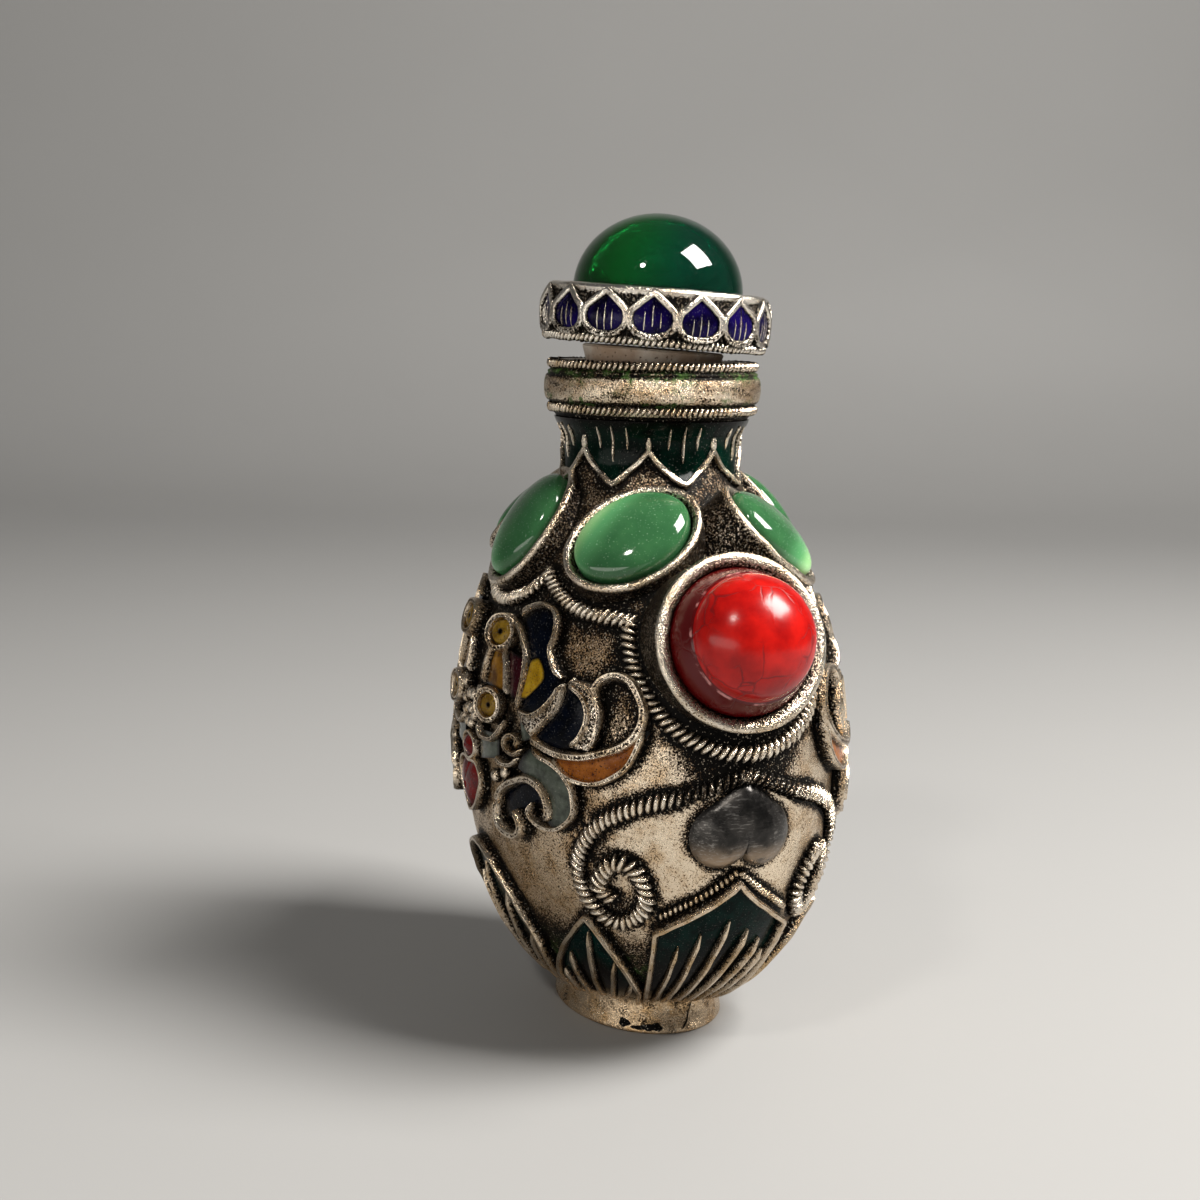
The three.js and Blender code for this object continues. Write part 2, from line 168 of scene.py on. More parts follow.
def evenFrames(spots, pitch, surface=None):
    # frames along a laid line, a bead apart, measured on the surface
    surface = surface or (skinPoint, skinNormal)
    points = [surface[0](*spot) for spot in spots]
    total = sum((high - low).length for low, high in zip(points, points[1:]))
    count = max(round(total / pitch), 2)
    line = smoothLine([tuple(p) for p in points], count)
    nearest = [min(range(len(points)), key=lambda k: (points[k] - Vector(p)).length) for p in line]
    return lineFrames([Vector(p) for p in line], [surface[1](*spots[k]) for k in nearest])


def clearSelection():
    if bpy.context.mode != "OBJECT":
        bpy.ops.object.mode_set(mode="OBJECT")
    bpy.ops.object.select_all(action="DESELECT")


def chooseOnly(piece):
    clearSelection()
    piece.select_set(True)
    bpy.context.view_layer.objects.active = piece


def editAll(piece):
    chooseOnly(piece)
    bpy.ops.object.mode_set(mode="EDIT")
    bpy.ops.mesh.select_all(action="SELECT")


def mergeDoubles(piece):
    editAll(piece)
    bpy.ops.mesh.remove_doubles(threshold=mergeGap)
    bpy.ops.object.mode_set(mode="OBJECT")


def setTone(piece, name, values):
    layer = piece.data.attributes.get(name) or piece.data.attributes.new(name, "FLOAT", "POINT")
    layer.data.foreach_set("value", values)


def setGrime(piece, values):
    # how dark the metal has gone, 0 polished to 1 black, at each vertex
    setTone(piece, "grime", values)


def mappedGrid(name, columns, rows, place):
    # a grid laid where place(u, v) puts each of its points, with the grime it gives
    clearSelection()
    bpy.ops.mesh.primitive_grid_add(x_subdivisions=columns, y_subdivisions=rows, size=2)
    piece = bpy.context.object
    piece.name = name
    grime = []
    for vertex in piece.data.vertices:
        point, dark = place((vertex.co.x + 1) / 2, (vertex.co.y + 1) / 2)
        vertex.co = point * mm
        grime.append(dark)
    setGrime(piece, grime)
    return piece


def applyModifier(piece, kind, **settings):
    chooseOnly(piece)
    modifier = piece.modifiers.new(kind.title(), kind)
    for key, value in settings.items():
        setattr(modifier, key, value)
    bpy.ops.object.modifier_apply(modifier=modifier.name)


def wallSection(half, height, sink=0.5, topGrime=0.2):
    # across, up and grime of a flat-topped wire soldered on its edge
    right = [(half * 1.2, -sink, 1.0), (half * 1.1, height * 0.4, 0.85), (half, height * 0.82, 0.2)]
    right.append((half * 0.62, height, 0.02))
    left = [(-across, up, grime) for across, up, grime in reversed(right)]
    return right + [(0, height * 0.97, topGrime)] + left


def sweptWall(name, frames, section, closed=False, endScale=0.45, mark=True):
    # a section carried along a line, its ends narrowed and closed
    steps = len(frames)
    count = len(section)
    rows = steps if closed else steps - 1

    def place(u, v):
        across, up, grime = section[round(u * count) % count]
        row = round(v * rows)
        point, side, normal, _ = frames[row % steps]
        scale = 1.0
        if not closed:
            scale = mix(endScale, 1, min(min(row, rows - row) / 2, 1))
        return point + side * across * scale + normal * up * mix(1, scale, 0.5), grime

    piece = mappedGrid(name, count, rows, place)
    editAll(piece)
    bpy.ops.mesh.remove_doubles(threshold=mergeGap)
    if not closed:
        bpy.ops.mesh.fill_holes(sides=0)
        bpy.ops.mesh.select_all(action="SELECT")
    bpy.ops.mesh.normals_make_consistent(inside=False)
    bpy.ops.object.mode_set(mode="OBJECT")
    if mark:
        half = max(across for across, _, _ in section)
        reliefMarks.extend((point.copy(), half) for point, _, _, _ in frames)
    return piece


def enamelPatch(name, columns, rows, place, outward, thickness=0.9):
    # a sheet of glaze between wires, given thickness down into the metal
    piece = mappedGrid(name, columns, rows, place)
    facing = sum(face.normal.dot(outward) * face.area for face in piece.data.polygons)
    if facing < 0:
        editAll(piece)
        bpy.ops.mesh.flip_normals()
        bpy.ops.object.mode_set(mode="OBJECT")
    applyModifier(piece, "SOLIDIFY", thickness=thickness * mm, offset=-1)
    return piece


def fanPatch(name, outline, centre, rows, lift, thickness=0.9):
    # a sheet spread from a middle spot to a closed outline on the bottle
    count = len(outline)

    def place(u, v):
        edge = outline[round(u * count) % count]
        spot = (mix(centre[0], edge[0], v), mix(centre[1], edge[1], v))
        height, dark = lift(spot, v)
        return above(*spot, height), dark

    piece = enamelPatch(name, count, rows, place, skinNormal(*centre), thickness)
    mergeDoubles(piece)
    return piece


def joinPieces(name, pieces):
    clearSelection()
    for piece in pieces:
        piece.select_set(True)
    bpy.context.view_layer.objects.active = pieces[0]
    bpy.ops.object.join()
    pieces[0].name = name
    return pieces[0]


def turnedForm(name, rings, sides):
    # a ring drawn out step by step: half width, half depth and height of each; None closes an end
    clearSelection()
    bpy.ops.mesh.primitive_circle_add(vertices=sides, radius=mm)
    piece = bpy.context.object
    piece.name = name
    editAll(piece)
    closeStart = rings[0] is None
    closeEnd = rings[-1] is None
    rings = [ring for ring in rings if ring]
    width, depth, z = rings[0]
    bpy.ops.transform.resize(value=(width, depth, 1))
    bpy.ops.transform.translate(value=(0, 0, z * mm))
    for ring in rings[1:]:
        shift = (0, 0, (ring[2] - z) * mm)
        bpy.ops.mesh.extrude_region_move(TRANSFORM_OT_translate={"value": shift})
        share = (ring[0] / width, ring[1] / depth, 1)
        bpy.ops.transform.resize(value=share, center_override=(0, 0, ring[2] * mm))
        width, depth, z = ring
    if closeEnd:
        bpy.ops.mesh.extrude_region_move()
        bpy.ops.mesh.merge(type="CENTER")
    if closeStart:
        bpy.ops.mesh.select_all(action="DESELECT")
        bpy.ops.mesh.select_non_manifold()
        bpy.ops.mesh.extrude_region_move()
        bpy.ops.mesh.merge(type="CENTER")
    bpy.ops.mesh.select_all(action="SELECT")
    bpy.ops.mesh.normals_make_consistent(inside=False)
    bpy.ops.object.mode_set(mode="OBJECT")
    return piece


def strungBeads(name, bead, frames, sink, soot=None, growth=1.0):
    # the bead copied along a line, one to a frame, growing to its end; soot(point) adds grime
    rope = bmesh.new()
    for i, (point, side, normal, along) in enumerate(frames):
        size = mix(1, growth, i / len(frames)) * (1 + 0.16 * noise.noise(point * 1.7))
        axes = Matrix((along, side * size, normal * size)).transposed().to_4x4()
        place = Matrix.Translation((point - normal * sink) * mm) @ axes
        copy = bead.data.copy()
        copy.transform(place)
        rope.from_mesh(copy)
        bpy.data.meshes.remove(copy)
    mesh = bpy.data.meshes.new(name)
    rope.to_mesh(mesh)
    rope.free()
    piece = bpy.data.objects.new(name, mesh)
    bpy.context.scene.collection.objects.link(piece)
    high = max(vertex.co.z for vertex in bead.data.vertices)
    grime = []
    for point, _, _, _ in frames:
        extra = soot(point) if soot else 0
        for vertex in bead.data.vertices:
            grime.append(min(max(1.0 - 1.15 * vertex.co.z / high, 0.04) + extra, 1))
    setGrime(piece, grime)
    return piece


def ropeBead(long, thick, high, slant):
    # one turn of twisted wire: a slanted grain
    clearSelection()
    bpy.ops.mesh.primitive_uv_sphere_add(segments=8, ring_count=5, radius=mm)
    piece = bpy.context.object
    editAll(piece)
    bpy.ops.transform.resize(value=(thick, long, high))
    bpy.ops.object.mode_set(mode="OBJECT")
    piece.data.transform(Matrix.Rotation(math.radians(slant), 4, "Z"))
    return piece


def finishPiece(piece, node, material, angle=40):
    chooseOnly(piece)
    bpy.ops.object.shade_smooth_by_angle(angle=math.radians(angle))
    piece.data.materials.clear()
    piece.data.materials.append(material)
    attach(piece, "root")
    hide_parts(node)
    return piece


def finishOnBottle(piece, material, angle):
    return finishPiece(piece, "bottle_body", material, angle)


def handmade(piece, amount, warmthAndPaintedLight=None):
    # the small unevenness of work laid by hand, and the bronze tint of old silver
    for vertex in piece.data.vertices:
        vertex.co += noise.noise_vector(vertex.co / mm * 0.5) * amount * mm
    if warmthAndPaintedLight is not None:
        setTone(piece, "warmthAndPaintedLight", [warmthAndPaintedLight] * len(piece.data.vertices))
    return piece


# start and sense of the angles in each mirrored place
quarters = ((0, 1), (0, -1), (180, 1), (180, -1))


def mirrorSpots(spots):
    # the four mirrored places of a line given between the front and the right side
    copies = []
    for start, sign in quarters:
        copies.append([(start + sign * angle, z) for angle, z in spots])
    return copies


# Shader building

def fillInputs(tree, node, inputs):
    # a socket is linked, a plain value is set on the node
    for key, value in inputs.items():
        if isinstance(value, bpy.types.NodeSocket):
            tree.links.new(value, node.inputs[key])
        else:
            node.inputs[key].default_value = value


def addNode(tree, kind, inputs=None, **settings):
    node = tree.nodes.new(kind)
    for key, value in settings.items():
        setattr(node, key, value)
    fillInputs(tree, node, inputs or {})
    return node


def mathOf(tree, operation, first, second=0.0, third=0.0):
    return addNode(tree, "ShaderNodeMath", {0: first, 1: second, 2: third},
                   operation=operation).outputs[0]


def times(tree, first, second):
    return mathOf(tree, "MULTIPLY", first, second)


def toneOf(tree, name):
    return addNode(tree, "ShaderNodeAttribute", attribute_name=name).outputs["Fac"]


def spread(tree, value, low, high, outLow=0.0, outHigh=1.0):
    inputs = {"Value": value, "From Min": low, "From Max": high, "To Min": outLow, "To Max": outHigh}
    return addNode(tree, "ShaderNodeMapRange", inputs, interpolation_type="SMOOTHSTEP").outputs[0]


def blendColor(tree, share, first, second):
    node = addNode(tree, "ShaderNodeMix", {0: share, 6: first, 7: second}, data_type="RGBA")
    return node.outputs[2]


def noiseOf(tree, place, scale, detail=4.0, rough=0.55, distortion=0.0):
    inputs = {"Vector": place, "Scale": scale, "Detail": detail, "Roughness": rough}
    inputs["Distortion"] = distortion
    return addNode(tree, "ShaderNodeTexNoise", inputs).outputs["Fac"]


def objectPlace(tree):
    return addNode(tree, "ShaderNodeTexCoord").outputs["Object"]


def newGroup(name, inputs, outputs):
    group = bpy.data.node_groups.new(name, "ShaderNodeTree")
    for label, value in inputs.items():
        socket = group.interface.new_socket(label, in_out="INPUT", socket_type="NodeSocketFloat")
        socket.default_value = value
    for label in outputs:
        group.interface.new_socket(label, in_out="OUTPUT", socket_type="NodeSocketFloat")
    return group, group.nodes.new("NodeGroupInput").outputs, group.nodes.new("NodeGroupOutput").inputs


def patinaGroup():
    # speckled tarnish: solid in the hollows, thinning to scattered pits on worn metal
    group, given, result = newGroup("patina", {"Grime": 0.3, "Grain": 3000.0},
                                    ["Dark", "Relief", "Cloud", "Glint"])
    place = objectPlace(group)
    grain = noiseOf(group, place, given["Grain"], 3.0, 0.7)
    cloud = noiseOf(group, place, times(group, given["Grain"], 0.07), 5.0, 0.6)
    dents = noiseOf(group, place, times(group, given["Grain"], 0.22), 2.0, 0.5)
    dust = noiseOf(group, place, 5200.0, 1.0, 0.5)
    speck = spread(group, grain, 0.32, 0.68)
    total = mathOf(group, "MULTIPLY_ADD", given["Grime"], 1.3,
                   mathOf(group, "MULTIPLY_ADD", cloud, 0.7, -0.45))
    dark = spread(group, mathOf(group, "SUBTRACT", total, speck), -0.3, 0.35)
    fine = mathOf(group, "SUBTRACT", times(group, speck, 0.5), dark)
    group.links.new(dark, result["Dark"])
    group.links.new(mathOf(group, "MULTIPLY_ADD", dents, 2.2, fine), result["Relief"])
    group.links.new(cloud, result["Cloud"])
    group.links.new(spread(group, dust, 0.66, 0.73), result["Glint"])
    return group


def glazeGroup():
    # clouding, pinholes and dust of fired glaze or polished stone
    group, given, result = newGroup("glaze", {"Scale": 600.0, "Wear": 0.0},
                                    ["Cloud", "Pits", "Dust", "Relief"])
    place = objectPlace(group)
    cloud = noiseOf(group, place, given["Scale"], 4.0, 0.6)
    fine = noiseOf(group, place, times(group, given["Scale"], 6.0), 2.0, 0.5)
    dust = noiseOf(group, place, 6400.0, 1.0, 0.5)
    group.links.new(spread(group, cloud, 0.3, 0.7), result["Cloud"])
    group.links.new(spread(group, mathOf(group, "ADD", fine, given["Wear"]), 0.68, 0.78),
                    result["Pits"])
    group.links.new(spread(group, dust, 0.66, 0.74), result["Dust"])
    group.links.new(mathOf(group, "MULTIPLY_ADD", fine, 0.3, cloud), result["Relief"])
    return group


patina = patinaGroup()
glaze = glazeGroup()


def newMaterial(name):
    material = bpy.data.materials.new(name)
    material.use_nodes = True
    tree = material.node_tree
    return material, tree, tree.nodes["Principled BSDF"]


def bumpInto(tree, shader, height, strength, distance):
    inputs = {"Height": height, "Strength": strength, "Distance": distance * mm}
    tree.links.new(addNode(tree, "ShaderNodeBump", inputs).outputs[0], shader.inputs["Normal"])


tints = {
    # colours within the finishes
    "soot": (0.0025, 0.002, 0.0015, 1),
    "crust": (0.060, 0.135, 0.030, 1),
    "cellSoot": (0.002, 0.0014, 0.001, 1),
    "cellDust": (0.32, 0.30, 0.27, 1),
    "heartDark": (0.022, 0.021, 0.020, 1),
    "heartClear": (0.062, 0.057, 0.053, 1),
    "heartRubbed": (0.34, 0.25, 0.17, 1),
    "heartScratch": (0.42, 0.40, 0.37, 1),
    "redDeep": (0.27, 0.002, 0.002, 1),
    "redBright": (0.48, 0.007, 0.004, 1),
    "redVein": (0.07, 0.002, 0.004, 1),
    "redWallPaintedShade": (0.085, 0.0015, 0.002, 1),
    "redChalk": (0.66, 0.30, 0.28, 1),
    "greenDeep": (0.025, 0.100, 0.036, 1),
    "greenClear": (0.036, 0.130, 0.047, 1),
    "greenPaintedLit": (0.085, 0.280, 0.110, 1),
    "greenPaintedGlow": (0.330, 0.640, 0.260, 1),
    "greenDust": (0.50, 0.66, 0.50, 1),
    "domeDeep": (0.0005, 0.066, 0.034, 1),
    "domeClear": (0.001, 0.095, 0.052, 1),
    "domePaintedLit": (0.003, 0.200, 0.022, 1),
    "domeDust": (0.24, 0.36, 0.30, 1),
    "corkTan": (0.56, 0.40, 0.28, 1),
    "corkPale": (0.86, 0.77, 0.66, 1),
    "corkPore": (0.16, 0.09, 0.05, 1),
}


def silverFinish(name, bright, bronze, brown, grain, polish):
    material, tree, shader = newMaterial(name)
    inputs = {"Grain": grain, "Grime": toneOf(tree, "grime")}
    marks = addNode(tree, "ShaderNodeGroup", inputs, node_tree=patina)
    dark, cloud = marks.outputs["Dark"], marks.outputs["Cloud"]
    # this tone yellows the metal: partly real tint, and on the foot and low body partly a painted warm
    # floor reflection
    yellowed = mathOf(tree, "MULTIPLY_ADD", spread(tree, cloud, 0.4, 0.68), 0.55,
                      times(tree, toneOf(tree, "warmthAndPaintedLight"), 0.7))
    metal = blendColor(tree, mathOf(tree, "MINIMUM", yellowed, 1.0), bright, bronze)
    toned = blendColor(tree, spread(tree, dark, 0.05, 0.6), metal, brown)
    black = blendColor(tree, spread(tree, dark, 0.45, 0.92), toned, tints["soot"])
    flakes = spread(tree, noiseOf(tree, objectPlace(tree), 1300.0, 3.0, 0.6), 0.45, 0.64)
    crust = times(tree, toneOf(tree, "verdigris"), flakes)
    crusted = blendColor(tree, crust, black, tints["crust"])
    glint = times(tree, marks.outputs["Glint"], spread(tree, dark, 1.0, 0.55, 0.5, 1.0))
    clean = mathOf(tree, "MULTIPLY_ADD", crust, -0.5, spread(tree, dark, 0.3, 1.0, 1.0, 0.1))
    fillInputs(tree, shader, {
        "Base Color": blendColor(tree, glint, crusted, bright),
        "Metallic": mathOf(tree, "MAXIMUM", clean, glint),
        "Roughness": spread(tree, dark, 0.0, 1.0, polish, 0.5),
        "Specular IOR Level": 0.07,
    })
    bumpInto(tree, shader, marks.outputs["Relief"], 0.55, 0.06)
    return material


def enamelFinish(name, deep, light, rough=0.2, scale=700.0, wear=0.0, gloss=0.11):
    material, tree, shader = newMaterial(name)
    marks = addNode(tree, "ShaderNodeGroup", {"Scale": scale, "Wear": wear}, node_tree=glaze)
    soot = toneOf(tree, "grime")
    clouded = blendColor(tree, marks.outputs["Cloud"], deep, light)
    pitted = blendColor(tree, marks.outputs["Pits"], clouded, tuple(c * 0.2 for c in deep[:3]) + (1,))
    shaded = blendColor(tree, spread(tree, soot, 0.3, 0.95), pitted, tints["cellSoot"])
    color = blendColor(tree, times(tree, marks.outputs["Dust"], 0.2), shaded, tints["cellDust"])
    fillInputs(tree, shader, {
        "Base Color": color,
        "Roughness": spread(tree, marks.outputs["Pits"], 0, 1, rough, 0.5),
        "Specular IOR Level": gloss,
    })
    bumpInto(tree, shader, marks.outputs["Relief"], 0.4, 0.14)
    return material


def heartFinish():
    # dark glossy metal with fine scratches, browner where it is rubbed
    material, tree, shader = newMaterial("gunMetal")
    place = objectPlace(tree)
    rubbed = toneOf(tree, "warmthAndPaintedLight")
    cloud = noiseOf(tree, place, 420.0, 5.0, 0.6)
    stretch = addNode(tree, "ShaderNodeMapping",
                      {"Vector": place, "Rotation": (0.5, 0, 0), "Scale": (1, 0.22, 1.6)})
    scratch = noiseOf(tree, stretch.outputs[0], 3400.0, 3.0, 0.65)
    streak = times(tree, spread(tree, scratch, 0.5, 0.72), spread(tree, cloud, 0.4, 0.62))
    dark = blendColor(tree, spread(tree, cloud, 0.35, 0.65), tints["heartDark"], tints["heartClear"])
    worn = times(tree, rubbed, spread(tree, cloud, 0.3, 0.6))
    brown = blendColor(tree, worn, dark, tints["heartRubbed"])
    color = blendColor(tree, times(tree, streak, 0.6), brown, tints["heartScratch"])
    fillInputs(tree, shader, {
        "Base Color": color,
        "Roughness": spread(tree, cloud, 0.3, 0.7, 0.2, 0.38),
        "Metallic": 0.85,
    })
    bumpInto(tree, shader, mathOf(tree, "MULTIPLY_ADD", scratch, 0.25, cloud), 0.3, 0.12)
    return material


def redStoneFinish():
    material, tree, shader = newMaterial("redStone")
    place = objectPlace(tree)
    marks = addNode(tree, "ShaderNodeGroup", {"Scale": 320.0}, node_tree=glaze)
    bent = addNode(tree, "ShaderNodeTexNoise",
                   {"Vector": place, "Scale": 300.0, "Detail": 4.0}).outputs["Color"]
    shake = addNode(tree, "ShaderNodeVectorMath", {0: bent, 1: (0.0022, 0.0022, 0.0022)},
                    operation="MULTIPLY")
    bentPlace = addNode(tree, "ShaderNodeVectorMath", {0: place, 1: shake.outputs[0]},
                        operation="ADD").outputs[0]
    cells = addNode(tree, "ShaderNodeTexVoronoi", {"Vector": bentPlace, "Scale": 330.0},
                    feature="DISTANCE_TO_EDGE")
    veins = spread(tree, cells.outputs["Distance"], 0.0, 0.045, 1.0, 0.0)
    patch = spread(tree, noiseOf(tree, place, 210.0, 2.0), 0.42, 0.62)
    side = toneOf(tree, "grime")
    body = blendColor(tree, marks.outputs["Cloud"], tints["redDeep"], tints["redBright"])
    veined = times(tree, veins, patch)
    aged = blendColor(tree, times(tree, veined, 0.62), body, tints["redVein"])
    # painted shade: the stone's side wall is made darker red; chalky scratches go on its top band
    paintedWallShade = blendColor(tree, spread(tree, side, 0.3, 0.5), aged, tints["redWallPaintedShade"])
    chalk = times(tree, spread(tree, side, 0.72, 0.95),
                  spread(tree, noiseOf(tree, place, 620.0), 0.5, 0.62))
    color = blendColor(tree, times(tree, chalk, 0.7), paintedWallShade, tints["redChalk"])
    fillInputs(tree, shader, {
        "Base Color": color,
        "Roughness": spread(tree, veined, 0, 1, 0.21, 0.45),
        "Specular IOR Level": 0.32,
        "Subsurface Weight": 0.08,
        "Subsurface Radius": (1.0, 0.15, 0.1),
        "Subsurface Scale": 0.8 * mm,
    })
    bumpInto(tree, shader, mathOf(tree, "SUBTRACT", marks.outputs["Relief"], veined), 0.25, 0.08)
    return material


def greenStoneFinish():
    # clear at heart, with lit and pale colours painted towards one edge: a painted glow where light
    # would gather
    material, tree, shader = newMaterial("greenStone")
    marks = addNode(tree, "ShaderNodeGroup", {"Scale": 300.0}, node_tree=glaze)
    paintedGlow = toneOf(tree, "warmthAndPaintedLight")
    core = blendColor(tree, marks.outputs["Cloud"], tints["greenDeep"], tints["greenClear"])
    lit = blendColor(tree, spread(tree, paintedGlow, 0.0, 0.55), core, tints["greenPaintedLit"])
    pale = blendColor(tree, spread(tree, paintedGlow, 0.45, 0.95), lit, tints["greenPaintedGlow"])
    dusty = blendColor(tree, times(tree, marks.outputs["Dust"], 0.18), pale, tints["greenDust"])
    fillInputs(tree, shader, {
        "Base Color": dusty,
        "Roughness": spread(tree, marks.outputs["Dust"], 0, 1, 0.07, 0.3),
        "Specular IOR Level": 0.55,
        "Subsurface Weight": 0.35,
        "Subsurface Radius": (0.5, 1.0, 0.5),
        "Subsurface Scale": 1.4 * mm,
    })
    bumpInto(tree, shader, marks.outputs["Relief"], 0.08, 0.05)
    return material


def domeStoneFinish():
    material, tree, shader = newMaterial("domeStone")
    marks = addNode(tree, "ShaderNodeGroup", {"Scale": 240.0}, node_tree=glaze)
    # painted glow: brighter green painted towards one side of the dome
    paintedGlowZone = toneOf(tree, "warmthAndPaintedLight")
    teal = blendColor(tree, marks.outputs["Cloud"], tints["domeDeep"], tints["domeClear"])
    color = blendColor(tree, paintedGlowZone, teal, tints["domePaintedLit"])
    dusty = blendColor(tree, times(tree, marks.outputs["Dust"], 0.25), color, tints["domeDust"])
    fillInputs(tree, shader, {
        "Base Color": dusty,
        "Roughness": spread(tree, marks.outputs["Dust"], 0, 1, 0.03, 0.2),
        "Transmission Weight": 0.85,
        "IOR": 1.5,
    })
    return material


def corkFinish():
    # a smooth old plug, tan with greyish bloom
    material, tree, shader = newMaterial("plugCork")
    place = objectPlace(tree)
    cloud = noiseOf(tree, place, 260.0, 5.0, 0.6)
    pores = noiseOf(tree, place, 2400.0, 2.0, 0.5)
    base = blendColor(tree, spread(tree, cloud, 0.35, 0.65), tints["corkTan"], tints["corkPale"])
    color = blendColor(tree, spread(tree, pores, 0.62, 0.72), base, tints["corkPore"])
    fillInputs(tree, shader, {"Base Color": color,
                              "Roughness": spread(tree, cloud, 0.3, 0.7, 0.5, 0.75)})
    bumpInto(tree, shader, mathOf(tree, "SUBTRACT", cloud, pores), 0.3, 0.08)
    return material


antiqueSilver = silverFinish("antiqueSilver", (0.86, 0.78, 0.66, 1), (0.48, 0.34, 0.19, 1),
                             (0.17, 0.11, 0.06, 1), 4600.0, 0.18)
wornGround = silverFinish("wornGround", (0.91, 0.79, 0.62, 1), (0.56, 0.37, 0.19, 1),
                          (0.19, 0.115, 0.06, 1), 6200.0, 0.27)
stopperSilver = silverFinish("stopperSilver", (0.88, 0.82, 0.72, 1), (0.54, 0.42, 0.28, 1),
                             (0.19, 0.135, 0.085, 1), 4200.0, 0.19)
gunMetal = heartFinish()
redStone = redStoneFinish()
greenStone = greenStoneFinish()
domeStone = domeStoneFinish()
plugCork = corkFinish()
petalGreen = enamelFinish("petalGreen", (0.0006, 0.003, 0.0026, 1), (0.0008, 0.014, 0.011, 1), 0.13,
                          gloss=0.05)
neckGreen = enamelFinish("neckGreen", (0.0005, 0.0022, 0.0014, 1), (0.0008, 0.012, 0.007, 1), 0.13,
                         300.0, gloss=0.06)
cellViolet = enamelFinish("cellViolet", (0.0012, 0.0005, 0.007, 1), (0.006, 0.002, 0.060, 1), 0.13,
                          420.0)
wingNavy = enamelFinish("wingNavy", (0.0005, 0.0007, 0.0014, 1), (0.0008, 0.0022, 0.007, 1), 0.14,
                        gloss=0.08)
wingYellow = enamelFinish("wingYellow", (0.24, 0.125, 0.005, 1), (0.42, 0.26, 0.012, 1), 0.2, 900.0,
                          0.08)
wingOrange = enamelFinish("wingOrange", (0.18, 0.048, 0.006, 1), (0.32, 0.105, 0.014, 1), 0.18, 900.0,
                          0.11)
petalRed = enamelFinish("petalRed", (0.055, 0.002, 0.002, 1), (0.15, 0.004, 0.003, 1), 0.16, 900.0,
                        0.04, 0.25)
wineRed = enamelFinish("wineRed", (0.012, 0.001, 0.002, 1), (0.030, 0.002, 0.005, 1), 0.18)
stemAmber = enamelFinish("stemAmber", (0.060, 0.022, 0.002, 1), (0.290, 0.135, 0.012, 1), 0.18, 420.0)
tailGrey = enamelFinish("tailGrey", (0.030, 0.036, 0.028, 1), (0.085, 0.100, 0.078, 1), 0.14, gloss=0.3)
eyeAmber = enamelFinish("eyeAmber", (0.100, 0.052, 0.004, 1), (0.250, 0.150, 0.013, 1), 0.18, 1100.0,
                        0.1, 0.2)
print("finishes made")


# Bottle: foot, belly, shoulder, neck and collar outside, bore and hollow inside

collar = {
    # half width and height of the moulded ring round the mouth
    "profile": [(9.72, 60.95), (9.92, 61.2), (10.05, 61.35), (10.1, 62.0), (10.15, 62.2),
                (10.55, 62.35), (10.8, 62.65), (10.92, 63.4), (10.9, 64.3), (10.76, 64.8),
                (10.62, 64.95), (10.5, 64.98), (10.5, 65.12), (10.6, 65.2), (10.5, 65.36),
                (10.15, 65.45), (10.1, 66.2), (9.95, 66.4)],
    "mouth": [(7.5, 66.42), (7.32, 66.2)],
    "coneMiddle": (6.4, 63.0),
    "coneStart": 59.5,
    "topRope": (10.2, 66.0),
    "lowRope": (10.15, 61.72),
    "ropeBead": {"long": 0.56, "thick": 0.23, "high": 0.44, "slant": -24},
}
footRing = {
    "depth": 1.2,
    "rim": 1.8,
    # out from the edge of the hollow under the foot, and height
    "edge": [(-0.3, 1.2), (0, 0.9), (0.1, 0.12), (0.25, 0), (1.4, 0), (1.68, 0.1)],
}


def bottleShell():
    rings = [None]
    ratio = formAt(0)[1] / formAt(0)[0]
    inner = formAt(0)[0] - footRing["rim"]
    underside = [(inner * 0.5, footRing["depth"])]
    underside += [(inner + out, z) for out, z in footRing["edge"]]
    for half, z in underside:
        rings.append((half, half * ratio, z))
    low, high = bottleForm["evenRings"]
    steps = math.ceil((high - low) / bottleForm["ringStep"])
    heights = bottleForm["lowRings"] + [mix(low, high, i / steps) for i in range(steps + 1)]
    rings += [(*formAt(z), z) for z in heights]
    bore = bottleForm["boreRadius"]
    neck = [collar["coneMiddle"], (bore, collar["coneStart"]), (bore, bottleForm["boreEnd"])]
    rings += [(half, half, z) for half, z in collar["profile"] + collar["mouth"] + neck]
    wall = bottleForm["wall"]
    for i in range(8):
        z = mix(bottleForm["ceiling"], bottleForm["floor"], i / 7)
        a, b = formAt(z)
        rings.append((max(a - wall, bore + 0.2), max(b - wall, bore * 0.9), z))
    rings.append(None)
    shell = turnedForm("bottleShell", rings, bottleForm["sides"])
    applyModifier(shell, "SUBSURF", levels=bottleForm["smoothing"],
                  render_levels=bottleForm["smoothing"])
    return shell


shell = bottleShell()
print("shell drawn", len(shell.data.polygons), "faces")


# Stones in raised cups

